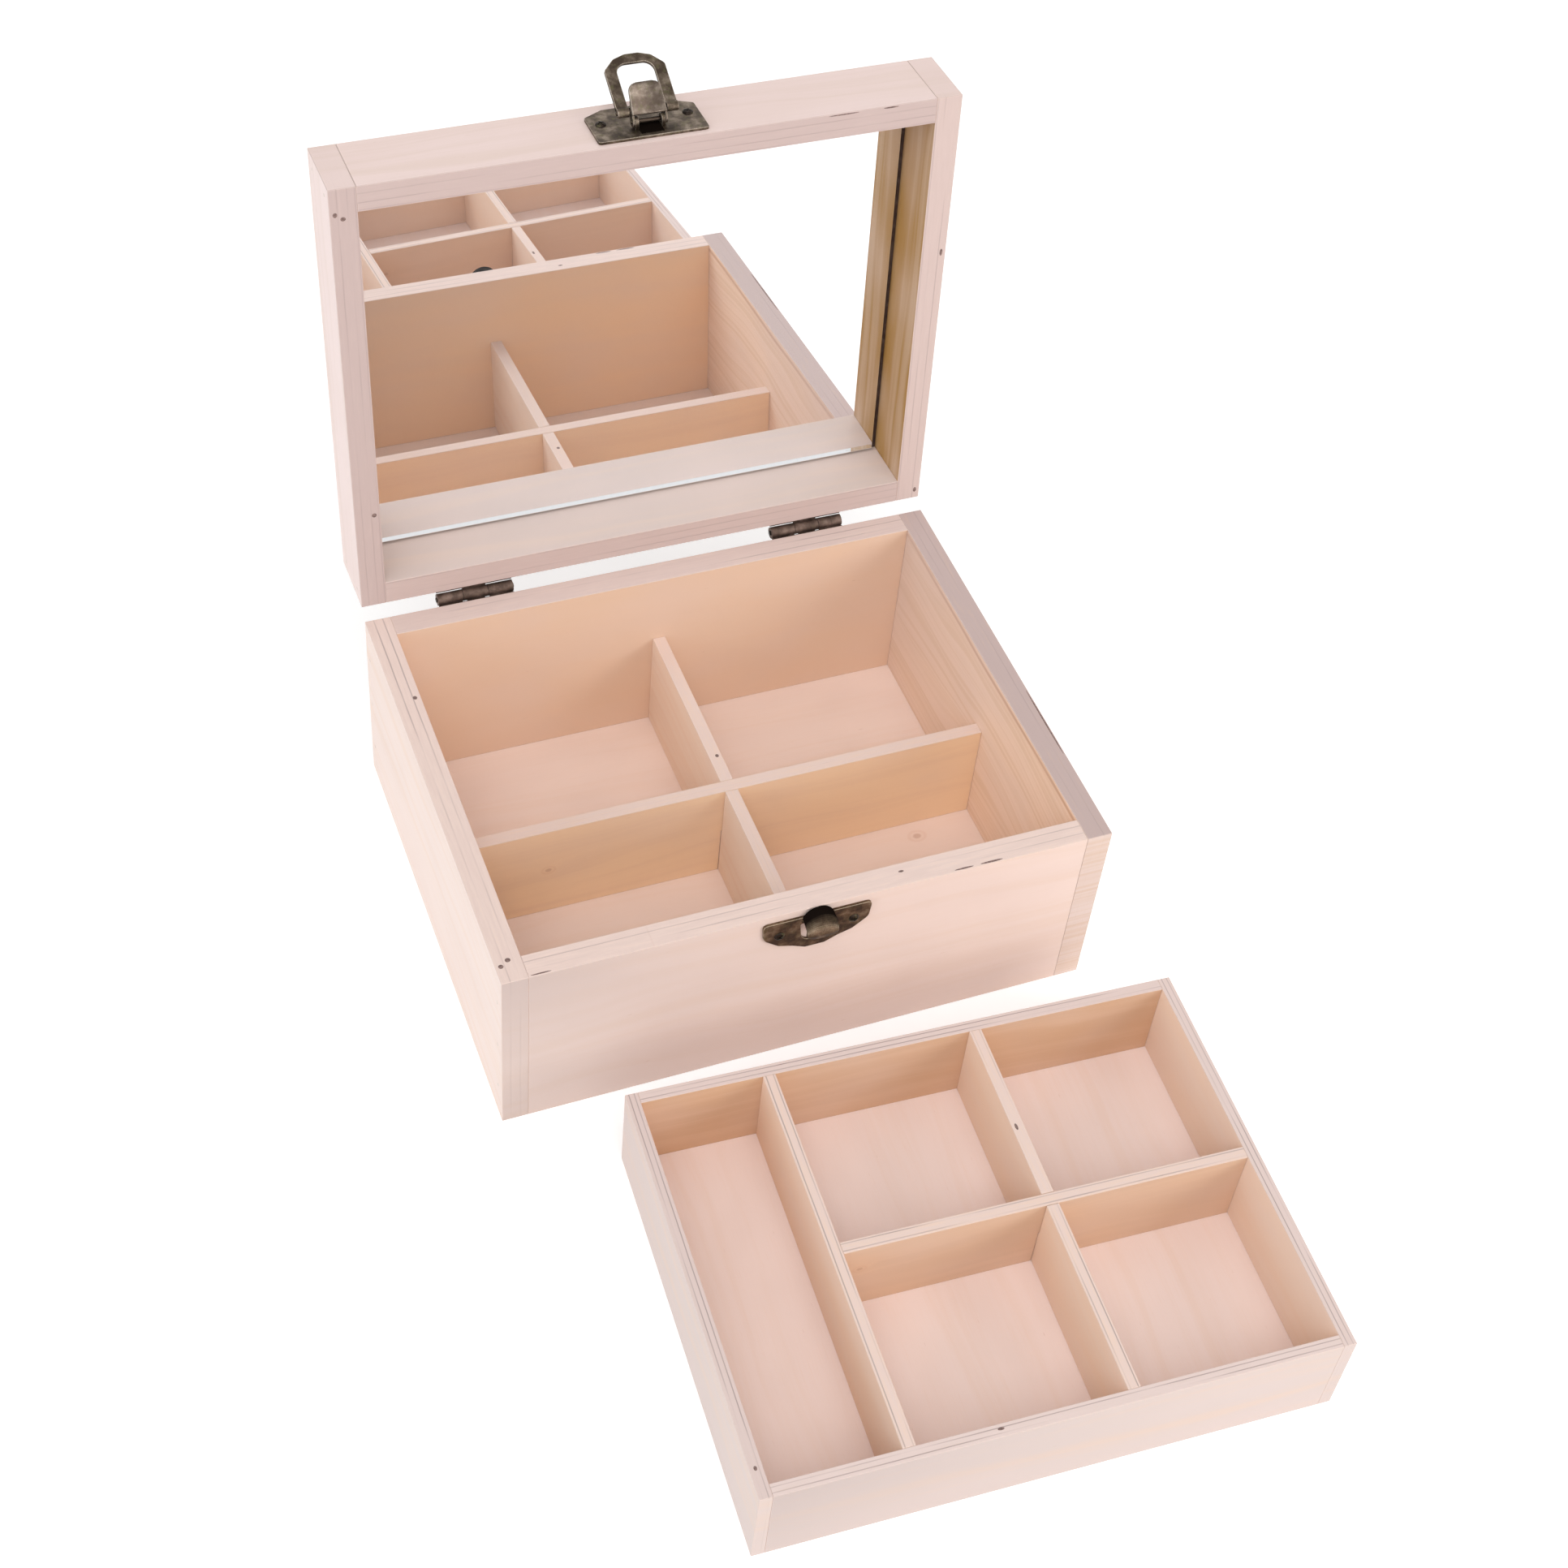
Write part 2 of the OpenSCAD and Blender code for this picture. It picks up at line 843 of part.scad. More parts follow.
// The ring from the front, hanging from the origin
module ring_outline() {
    difference() {
        translate([-ring_width / 2, -ring_length])
            rounded([ring_width, ring_length + ring_corner], ring_corner);
        translate([-ring_hole / 2, -ring_length + ring_bar])
            rounded([ring_hole, ring_length + 2 * ring_corner], ring_bend);
        translate([-ring_width / 2 - past, 0])
            square([ring_width + 2 * past, 2 * ring_corner + past]);
    }
}

module latch_ring() {
    color(aged_bronze)
        on_ring()
            difference() {
                union() {
                    translate([0, ring_thick / 2, 0])
                        on_face(ring_thick) ring_outline();
                    for (side = [-1, 1])
                        translate([side * (ring_width - ring_leg) / 2, 0, 0])
                            rod_x(ring_eye_r, ring_leg);
                }
                rod_x(latch_pin_r + hole_play, ring_width + past);
            }
}

// The outline of the catch plate, its top edge at height 0: a bow with a rounded lower point
module catch_outline() {
    half = catch_width / 2;
    polygon([
        [-half + 1, 0],
        [half - 1, 0],
        [half, -1.5],
        [half * 0.95, -catch_height * 0.42],
        [half * 0.72, -catch_height * 0.62],
        [half * 0.48, -catch_height * 0.82],
        [half * 0.2, -catch_height * 0.98],
        [0, -catch_height],
        [-half * 0.2, -catch_height * 0.98],
        [-half * 0.48, -catch_height * 0.82],
        [-half * 0.72, -catch_height * 0.62],
        [-half * 0.95, -catch_height * 0.42],
        [-half, -1.5]
    ]);
}

// The hook from the side, drawn as [outward, up]: out of the plate, over and down to a free edge
module hook_profile() {
    intersection() {
        translate([hook_out, hook_up])
            difference() {
                circle(r = hook_r);
                circle(r = hook_inner_r);
                translate([-hook_r - past, -hook_r - past])
                    square([2 * hook_r + 2 * past, hook_r + past]);
            }
        translate([plate_thick / 2, hook_up - past])
            square([hook_out + hook_r, hook_r + 2 * past]);
    }
    translate([hook_out + hook_inner_r, hook_up - hook_drop])
        square([hook_thick, hook_drop]);
}

module catch_plate() {
    color(aged_bronze)
        on_base_front()
            difference() {
                union() {
                    on_face(plate_thick)
                        translate([0, catch_top])
                            catch_outline();
                    along_x(hook_width) hook_profile();
                }
                for (side = [-1, 1])
                    translate([side * catch_screw_x, -plate_thick, catch_top - catch_screw_drop])
                        screw_hole();
            }
}

module catch_screw_places() {
    on_base_front()
        for (side = [-1, 1])
            translate([side * catch_screw_x, -plate_thick, catch_top - catch_screw_drop])
                children();
}

module catch_plate_screws() {
    color(dark_bronze) catch_screw_places() screw();
}

// Tray

module tray_floor_space() {
    translate([0, 0, -past])
        centred_panel(tray_floor_width, tray_floor_depth, tray_floor_thick + past);
}

module tray_brad_rods(side, radius, extra) {
    side_brads(side, radius, tray_brad_length + extra, tray_width / 2 + extra / 2,
        (tray_depth - tray_wall) / 2, tray_height, tray_brads);
}

module tray_end_wall(end) {
    difference() {
        end_wall(tray_width, tray_depth, tray_wall, tray_height, end);
        tray_floor_space();
        for (side = [-1, 1])
            tray_brad_rods(side, tray_brad_r + hole_play, hole_play);
    }
}

module tray_side_wall(side) {
    difference() {
        side_wall(tray_width, tray_depth, tray_wall, tray_height, side);
        tray_floor_space();
        tray_brad_rods(side, tray_brad_r + hole_play, hole_play);
    }
}

module tray_front_wall() {
    color(outside_wood) in_tray() tray_end_wall(-1);
}

module tray_back_wall() {
    color(outside_wood) in_tray() tray_end_wall(1);
}

module tray_left_wall() {
    color(outside_wood) in_tray() tray_side_wall(-1);
}

module tray_right_wall() {
    color(outside_wood) in_tray() tray_side_wall(1);
}

module tray_floor() {
    color(panel_wood) in_tray() centred_panel(tray_floor_width, tray_floor_depth, tray_floor_thick);
}

// A tray divider from front to back
module tray_long_board(x) {
    translate([x - tray_divider_thick / 2, -tray_inner_depth / 2, tray_floor_thick])
        cube([tray_divider_thick, tray_inner_depth, tray_divider_height]);
}

module tray_left_divider() {
    color(inside_wood) in_tray() tray_long_board(tray_left_x);
}

// Its halving is cut from above
module tray_right_divider() {
    color(inside_wood)
        in_tray()
            difference() {
                tray_long_board(tray_right_x);
                translate([tray_right_x - tray_divider_thick / 2 - past,
                        tray_cross_y - tray_divider_thick / 2 - lap_gap,
                        tray_floor_thick + tray_divider_height / 2])
                    cube([tray_divider_thick + 2 * past, tray_divider_thick + 2 * lap_gap,
                        tray_divider_height]);
            }
}

// From the left divider to the right wall, with its halving cut from below
module tray_cross_divider() {
    start_x = tray_left_x + tray_divider_thick / 2;
    color(inside_wood)
        in_tray()
            difference() {
                translate([start_x, tray_cross_y - tray_divider_thick / 2, tray_floor_thick])
                    cube([tray_inner_width / 2 - start_x, tray_divider_thick, tray_divider_height]);
                translate([tray_right_x - tray_divider_thick / 2 - lap_gap,
                        tray_cross_y - tray_divider_thick / 2 - past, tray_floor_thick - past])
                    cube([tray_divider_thick + 2 * lap_gap, tray_divider_thick + 2 * past,
                        tray_divider_height / 2 + past]);
            }
}

module tray_corner_pins() {
    color(pin_steel)
        in_tray()
            for (side = [-1, 1])
                tray_brad_rods(side, tray_brad_r, 0);
}

base_front_wall();
base_back_wall();
base_left_wall();
base_right_wall();
base_bottom_panel();
base_long_divider();
base_cross_divider();
base_corner_pins();
lid_front_wall();
lid_back_wall();
lid_left_wall();
lid_right_wall();
lid_top_panel();
mirror_glass();
mirror_tape();
lid_corner_pins();
left_hinge_base_leaf();
right_hinge_base_leaf();
left_hinge_lid_leaf();
right_hinge_lid_leaf();
left_hinge_pin();
right_hinge_pin();
hinge_base_screws();
hinge_lid_screws();
latch_plate();
latch_plate_screws();
lever_pin();
latch_lever();
ring_pin();
latch_ring();
catch_plate();
catch_plate_screws();
tray_front_wall();
tray_back_wall();
tray_left_wall();
tray_right_wall();
tray_floor();
tray_left_divider();
tray_right_divider();
tray_cross_divider();
tray_corner_pins();
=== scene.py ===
"""Pale wooden vanity box with a mirrored lid, a bronze toggle latch and a lift-out divided tray.

Every piece is built here in millimetres, in the frame of the sub-assembly that it belongs to, and then placed
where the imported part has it: the base as it stands, the lid turned open about its hinge pins, the tray turned
on the surface in front of the box.
"""

import itertools
import logging
import math
from dataclasses import dataclass, replace
from enum import Enum
from typing import Callable, Iterable, Iterator, Sequence

import bmesh
import bpy
from bmesh.types import BMesh, BMFace, BMVert
from bpy.types import Material, Mesh, Node, NodeSocket, NodeTree, Object
from mathutils import Matrix, Vector


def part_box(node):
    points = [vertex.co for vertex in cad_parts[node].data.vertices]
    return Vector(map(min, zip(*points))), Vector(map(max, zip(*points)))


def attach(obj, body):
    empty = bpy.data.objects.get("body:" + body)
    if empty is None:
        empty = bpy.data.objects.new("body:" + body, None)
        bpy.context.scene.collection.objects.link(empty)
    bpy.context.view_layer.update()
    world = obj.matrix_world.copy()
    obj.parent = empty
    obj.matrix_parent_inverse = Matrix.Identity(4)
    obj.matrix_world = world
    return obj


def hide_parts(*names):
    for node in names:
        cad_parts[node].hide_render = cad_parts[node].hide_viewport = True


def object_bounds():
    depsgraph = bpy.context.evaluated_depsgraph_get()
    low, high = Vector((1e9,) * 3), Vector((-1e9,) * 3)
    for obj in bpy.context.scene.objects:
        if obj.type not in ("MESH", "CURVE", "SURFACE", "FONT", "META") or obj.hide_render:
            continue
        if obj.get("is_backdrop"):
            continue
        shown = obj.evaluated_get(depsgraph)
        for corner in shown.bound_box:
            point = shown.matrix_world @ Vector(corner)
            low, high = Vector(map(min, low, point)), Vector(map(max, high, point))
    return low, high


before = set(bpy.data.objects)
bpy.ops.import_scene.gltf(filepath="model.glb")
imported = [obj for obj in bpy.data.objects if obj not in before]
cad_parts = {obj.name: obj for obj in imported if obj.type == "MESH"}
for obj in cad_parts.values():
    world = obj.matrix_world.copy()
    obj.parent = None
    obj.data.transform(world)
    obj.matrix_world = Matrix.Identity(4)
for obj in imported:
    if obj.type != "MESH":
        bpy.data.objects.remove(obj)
CAD_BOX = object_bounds()

log = logging.getLogger("vanity_box")

MM = 0.001
FILLER_ROOM = 0.02  # how far the side walls stand back, so that their filler spots stay inside the CAD box
NODE_ROOM = 0.0002  # how far a board may be off its node's box, in metres, before the log says so
PAST = 1.0  # how far a cut runs on where there is nothing left to cut
ROUND = (0, 345, 23)  # start, end and steps of a full circle, for arc()
SQUARE_ON = 0.9  # how much of a face's normal has to lie along an axis for the face to look that way
SHARP = math.radians(30)  # an edge that is bent more than this gets its arris rounded

Point = tuple[float, float, float]
Flat = tuple[float, float]
Colour = tuple[float, float, float]
Cut = tuple[Point, Point]
Inputs = dict[str | int, object]

WHITE: Colour = (1.0, 1.0, 1.0)


class Body(Enum):
    """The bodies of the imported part."""

    BOX = "box"
    LID = "lid"
    LEVER = "lever"
    RING = "ring"
    TRAY = "tray"


class Slot(Enum):
    """The record's material slots."""

    WALL = "wall_wood"
    INSIDE = "inside_wood"
    PANEL = "panel_wood"
    BRONZE = "aged_bronze"
    DARK_BRONZE = "dark_bronze"
    MIRROR = "mirror_glass"
    TAPE = "tape"
    PIN = "pin_steel"


class Along(Enum):
    """A direction of a board in its sub-assembly's frame."""

    X = 0
    Y = 1
    Z = 2


def linear(red: int, green: int, blue: int) -> Colour:
    """A colour written as the eye sees it, from 0 to 255, as the linear light that a shader takes."""
    shares = (value / 255 for value in (red, green, blue))
    return tuple(share / 12.92 if share <= 0.04045 else ((share + 0.055) / 1.055) ** 2.4 for share in shares)


# --- Sizes, in millimetres ---


@dataclass(frozen=True)
class FrameSizes:
    """A frame of four walls, with its panel in a rebate, halved dividers and wire pins in its corners."""

    width: float = 0.0
    depth: float = 0.0
    wall: float = 0.0
    rebate: float = 0.0
    divider: float = 0.0
    lap_gap: float = 0.1
    brad_length: float = 0.0
    brad_radius: float = 0.0
    brad_margin: float = 0.2

    @property
    def inner_width(self) -> float:
        """Clear width between the side walls."""
        return self.width - 2 * self.wall

    @property
    def inner_depth(self) -> float:
        """Clear depth between the front and the back wall."""
        return self.depth - 2 * self.wall

    def panel_space(self, low: float, high: float) -> Cut:
        """The space between two heights that a panel takes in the walls."""
        x, y = self.inner_width / 2 + self.rebate, self.inner_depth / 2 + self.rebate
        return (-x, -y, low), (x, y, high)

    def lap_cuts(self, x: float, y: float, foot: float, top: float) -> tuple[Cut, Cut]:
        """What two crossing dividers lose where they are halved over each other.

        Args:
            x: Middle of the divider that runs front to back.
            y: Middle of the divider that runs left to right.
            foot: Height of their lower edges.
            top: Height of their upper edges.

        Returns:
            The upper half cut from the first one and the lower half cut from the second one.
        """
        room, beyond, middle = self.divider / 2 + self.lap_gap, self.divider * 5, foot + (top - foot) / 2
        return (
            ((x - beyond, y - room, middle), (x + beyond, y + room, top + PAST)),
            ((x - room, y - beyond, foot - PAST), (x + room, y + beyond, middle)),
        )


@dataclass(frozen=True)
class BoxSizes(FrameSizes):
    """The wooden base and lid."""

    width: float = 200.0
    depth: float = 157.0
    height: float = 70.5
    wall: float = 8.5
    bottom: float = 3.0
    rebate: float = 4.0
    divider: float = 4.5
    divider_top: float = 43.0
    left_bay: float = 90.0
    front_bay: float = 66.0
    lid_height: float = 24.5
    panel: float = 3.0
    lid_open: float = 94.0
    seam: float = 0.2
    mirror: float = 2.0
    mirror_gap: float = 0.5
    glass_gap_right: float = 1.0
    glass_gap_back: float = 0.3
    glass_lip: float = 0.3
    lip_set: float = 0.4
    glass_arris: float = 0.04
    backing_arris: float = 0.03
    silver_depth: float = 1.4
    # The backing coat's edge runs past the glass at the right and back: painted shade in the gaps beside the mirror
    backing_and_gap_shade: float = 0.15
    gap_shade_edge: float = 0.35
    tape: float = 0.4
    pin_offset: float = 3.15
    brad_length: float = 20.0
    brad_radius: float = 0.6

    @property
    def lid_rim(self) -> float:
        """Height of the closed lid's rim."""
        return self.height + self.seam

    @property
    def hinge_height(self) -> float:
        """Height of the hinge pins."""
        return self.height + self.seam / 2

    @property
    def divider_x(self) -> float:
        """Middle of the divider that runs front to back."""
        return -self.inner_width / 2 + self.left_bay + self.divider / 2

    @property
    def divider_y(self) -> float:
        """Middle of the divider that runs left to right."""
        return -self.inner_depth / 2 + self.front_bay + self.divider / 2

    @property
    def mirror_face(self) -> float:
        """Height of the mirror's face in the closed lid."""
        return self.lid_rim + self.lid_height - self.panel - self.tape - self.mirror


@dataclass(frozen=True)
class TraySizes(FrameSizes):
    """The lift-out tray and its place on the surface."""

    width: float = 180.0
    depth: float = 136.0
    height: float = 34.0
    wall: float = 4.0
    floor: float = 3.0
    rebate: float = 2.0
    divider: float = 4.0
    long_bay: float = 38.5
    middle_bay: float = 63.5
    front_bay: float = 62.5
    distance: float = 29.0
    shift: float = 17.5
    turn: float = 3.0
    brad_length: float = 14.0
    brad_radius: float = 0.4

    @property
    def left_x(self) -> float:
        """Middle of the left divider."""
        return -self.inner_width / 2 + self.long_bay + self.divider / 2

    @property
    def right_x(self) -> float:
        """Middle of the right divider."""
        return self.left_x + self.divider + self.middle_bay

    @property
    def cross_y(self) -> float:
        """Middle of the divider that runs left to right."""
        return -self.inner_depth / 2 + self.front_bay + self.divider / 2


@dataclass(frozen=True)
class HingeSizes:
    """The two butt hinges, where their screws sit."""

    leaf_length: float = 26.0
    leaf_thick: float = 0.9
    inset_left: float = 25.4
    inset_right: float = 29.6
    pitch: float = 15.0
    screw_height: float = 8.0


@dataclass(frozen=True)
class LatchSizes:
    """The toggle latch on the lid and its catch on the base; heights are from the rim they sit at."""

    arris: float = 0.16
    plate_width: float = 35.0
    plate_height: float = 18.0
    plate_lift: float = 2.0
    plate_thick: float = 1.0
    plate_cut: float = 3.2
    plate_round: tuple[float, ...] = (1.2, 1.2, 1.0, 1.0, 1.0, 1.0)
    plate_screw_in: float = 3.7
    plate_screw_up: float = 9.8
    # A thin near-black sheet between the ears under the lever: painted shadow
    shadow_sheet_foot: float = 3.6
    shadow_sheet_top: float = 10.2
    shadow_sheet_thick: float = 0.3
    shadow_sheet_arris: float = 0.05
    shadow_sheet_out: float = 0.1
    lever_pin_height: float = 5.5
    lever_pin_out: float = 3.0
    pin_radius: float = 0.7
    rivet_head: float = 0.22
    play: float = 0.05
    lever_width: float = 12.5
    lever_thick: float = 1.2
    lever_angle: float = 113.0
    lever_shut: float = 172.0
    reach: float = 3.0
    reach_turn: float = 13.0
    cheek: float = 1.25
    ear: float = 1.2
    side_gap: float = 0.2
    tip_radius: float = 2.5
    ring_bar: float = 3.0
    ring_length: float = 18.9
    ring_thick: float = 1.2
    ring_angle: float = 150.0
    catch_width: float = 36.0
    catch_screw_in: float = 5.7
    catch_screw_drop: float = 6.5
    window_half: float = 5.6
    window_tall: float = 8.4
    window_up: float = 0.6
    hook_thick: float = 0.95
    hook_inner: float = 1.65
    hook_slack: float = 0.6
    hook_arch: float = 1.3
    cheek_sheet: float = 0.6
    cheek_arris: float = 0.1
    cheek_wrap: float = 0.6
    blade_root: float = 0.35
    blade_gap: float = 0.2
    blade_arris: float = 0.3
    blade_lean: float = 21.0
    blade_length: float = 9.6
    blade_taper: float = 0.5
    blade_curl: float = 16.0
    curl_start: float = 0.45
    loop_width: float = 19.2
    loop_leg: float = 3.7
    loop_bar: float = 3.2
    loop_bow: float = 3.2
    loop_shoulder: float = 4.6
    loop_cut: float = 3.6
    loop_cut_up: float = 1.2
    loop_tip: float = 2.2
    loop_round: tuple[float, ...] = (0.0, 1.6, 2.0, 3.0)
    loop_arris: float = 0.22
    eye_wall: float = 0.8
    catch_tall: float = 15.2
    catch_round: tuple[float, ...] = (1.8, 3.4, 2.6, 2.0, 2.5)
    window_taper: float = 1.0
    window_round: tuple[float, ...] = (0.8, 0.8, 4.0, 4.0)
    dome_width: float = 10.4
    dome_rise: float = 7.1
    dome_round: float = 0.8
    lip_drop: float = 1.6
    lip_fade: float = 1.1
    end_shrink: float = 0.35
    pocket_depth: float = 4.6
    hook_foot: float = 0.3
    # Where the near-black of oxide and painted shade fades on the hook's back, and the middle of the lip's band of
    # wear and painted highlight
    hook_dark_start: float = 66.0
    hook_fade: float = 40.0
    hook_step: int = 6
    lip_side: int = 16
    wear_and_highlight_side: int = 12

    @property
    def blade_width(self) -> float:
        """Width over the cheeks, which are folded from thin sheet beside the ears."""
        return self.lever_width - 2 * (self.cheek - self.cheek_sheet) - 0.2

    @property
    def ear_outer(self) -> float:
        """How far the ears' outer faces are from the middle."""
        return self.lever_width / 2 - self.cheek - self.side_gap

    @property
    def pin_up(self) -> float:
        """Height of the lever's pin above the lid's rim."""
        return self.plate_lift + self.lever_pin_height

    @property
    def bore(self) -> float:
        """Radius of a bore that turns on a pin."""
        return self.pin_radius + self.play

    @property
    def boss(self) -> float:
        """Radius of the rounded ends round the lever's pin."""
        return self.pin_radius + 0.9

    @property
    def ring_pin(self) -> Flat:
        """How far the ring's pin lies outward of the lever's line, negative towards the plate, and along it."""
        turn = math.radians(self.reach_turn)
        return -self.reach * math.sin(turn), self.reach * math.cos(turn)

    @property
    def hook_up(self) -> float:
        """Height of the middle of the hook's bend, from the base's rim, with the shut ring's bar below it.

        Returns:
            The height.
        """
        shut = math.radians(self.lever_shut + self.reach_turn)
        bar = self.pin_up - self.reach * math.cos(shut) - self.ring_length + self.ring_bar + 0.2
        return bar + self.hook_slack - self.hook_inner

    @property
    def catch_top(self) -> float:
        """Height of the catch plate's top edge, from the base's rim."""
        return self.hook_up + self.hook_inner + self.hook_thick + 1.2


# --- Places: from a sub-assembly's frame in millimetres to the part's frame in metres ---


# A profile drawn as (outward, up) and drawn out along X, and one drawn as (right, up) and drawn outward
SIDE_VIEW = Matrix(((0, 0, -1, 0), (-1, 0, 0, 0), (0, 1, 0, 0), (0, 0, 0, 1)))
FRONT_VIEW = Matrix(((1, 0, 0, 0), (0, 0, -1, 0), (0, 1, 0, 0), (0, 0, 0, 1)))


def turned(degrees: float, axis: str) -> Matrix:
    """A turn about an axis."""
    return Matrix.Rotation(math.radians(degrees), 4, axis)


def moved(x: float, y: float, z: float) -> Matrix:
    """A move."""
    return Matrix.Translation((x, y, z))


@dataclass(frozen=True)
class Places:
    """Where each sub-assembly's own frame lies in the part."""

    box: BoxSizes
    tray: TraySizes
    latch: LatchSizes

    @property
    def base(self) -> Matrix:
        """The base stands at the origin."""
        return Matrix.Scale(MM, 4)

    @property
    def lid(self) -> Matrix:
        """The lid is built closed and turned open about its hinge pins."""
        there = moved(0, self.box.depth / 2 + self.box.pin_offset, self.box.hinge_height)
        return self.base @ there @ turned(-self.box.lid_open, "X") @ there.inverted()

    @property
    def tray_frame(self) -> Matrix:
        """The tray stands in front of the box, a little turned."""
        y = -self.box.depth / 2 - self.tray.distance - self.tray.depth / 2
        return self.base @ moved(self.tray.shift, y, 0) @ turned(-self.tray.turn, "Z")

    @property
    def lid_front(self) -> Matrix:
        """The lid's rim on the outer face of its front wall."""
        return self.lid @ moved(0, -self.box.depth / 2, self.box.lid_rim)

    @property
    def lever(self) -> Matrix:
        """The lever's pin, with the lever standing up along +Z."""
        pin = moved(0, -self.latch.lever_pin_out, self.latch.pin_up)
        return self.lid_front @ pin @ turned(180 - self.latch.lever_angle, "X")

    @property
    def ring(self) -> Matrix:
        """The ring's pin, with the ring hanging along -Z."""
        out, up = self.latch.ring_pin
        return self.lever @ moved(0, -out, up) @ turned(self.latch.lever_angle - 180 - self.latch.ring_angle, "X")

    @property
    def base_front(self) -> Matrix:
        """The base's rim on the outer face of its front wall."""
        return self.base @ moved(0, -self.box.depth / 2, self.box.height)


# --- Node trees ---


class Value:
    """An output of a node, so that sums of outputs read as sums."""

    def __init__(self, tree: "Tree", socket: NodeSocket) -> None:
        """Keeps the socket and the tree that it is in."""
        self.tree, self.socket = tree, socket

    def __add__(self, other: "Value | float") -> "Value":
        """This plus a number."""
        return self.tree.maths("ADD", self, other)

    def __radd__(self, other: float) -> "Value":
        """A constant plus this."""
        return self.tree.maths("ADD", other, self)

    def __sub__(self, other: "Value | float") -> "Value":
        """This less a number."""
        return self.tree.maths("SUBTRACT", self, other)

    def __rsub__(self, other: float) -> "Value":
        """A constant less this."""
        return self.tree.maths("SUBTRACT", other, self)

    def __mul__(self, other: "Value | float") -> "Value":
        """This times a number."""
        return self.tree.maths("MULTIPLY", self, other)

    def __truediv__(self, other: "Value | float") -> "Value":
        """This over a number."""
        return self.tree.maths("DIVIDE", self, other)


class Tree:
    """A node tree, written as calls that return nodes and their outputs."""

    def __init__(self, tree: NodeTree) -> None:
        """Clears the tree that the nodes go in."""
        self.tree = tree
        tree.nodes.clear()

    def put(self, socket: NodeSocket, value: object) -> None:
        """Links an output to an input or sets a constant on it; a colour may leave out its alpha.

        Args:
            socket: The input.
            value: An output or a constant.
        """
        if isinstance(value, Value):
            value = value.socket
        if isinstance(value, NodeSocket):
            self.tree.links.new(value, socket)
        elif socket.type == "RGBA" and len(value) == 3:
            socket.default_value = (*value, 1.0)
        else:
            socket.default_value = value

    def node(self, kind: str, inputs: Inputs | None = None, **settings: object) -> Node:
        """A node with its settings and inputs.

        Args:
            kind: The node's type.
            inputs: Values or outputs by the input's name or number.
            **settings: Properties of the node.

        Returns:
            The node.
        """
        made = self.tree.nodes.new(kind)
        for key, value in settings.items():
            setattr(made, key, value)
        for key, value in (inputs or {}).items():
            self.put(made.inputs[key], value)
        return made

    def out(self, kind: str, inputs: Inputs | None = None, output: str | int = 0, **settings: object) -> Value:
        """An output of a new node, its first one unless another is named."""
        return Value(self, self.node(kind, inputs, **settings).outputs[output])

    def maths(self, operation: str, *values: object, clamp: bool = False) -> Value:
        """A Math node with its inputs in order; a clamped result is kept from 0 to 1."""
        return self.out("ShaderNodeMath", dict(enumerate(values)), operation=operation, use_clamp=clamp)

    def join(self, x: object, y: object, z: object) -> Value:
        """A vector of three numbers."""
        return self.out("ShaderNodeCombineXYZ", {"X": x, "Y": y, "Z": z})

    def seen(self) -> Value:
        """1 for rays from the camera and for rays that a mirror or a glass sends on, 0 for the light of the rest.

        Returns:
            The share.
        """
        rays = self.node("ShaderNodeLightPath").outputs
        sent_on = self.maths("MAXIMUM", rays["Is Glossy Ray"], rays["Is Transmission Ray"])
        return self.maths("MAXIMUM", rays["Is Camera Ray"], sent_on)


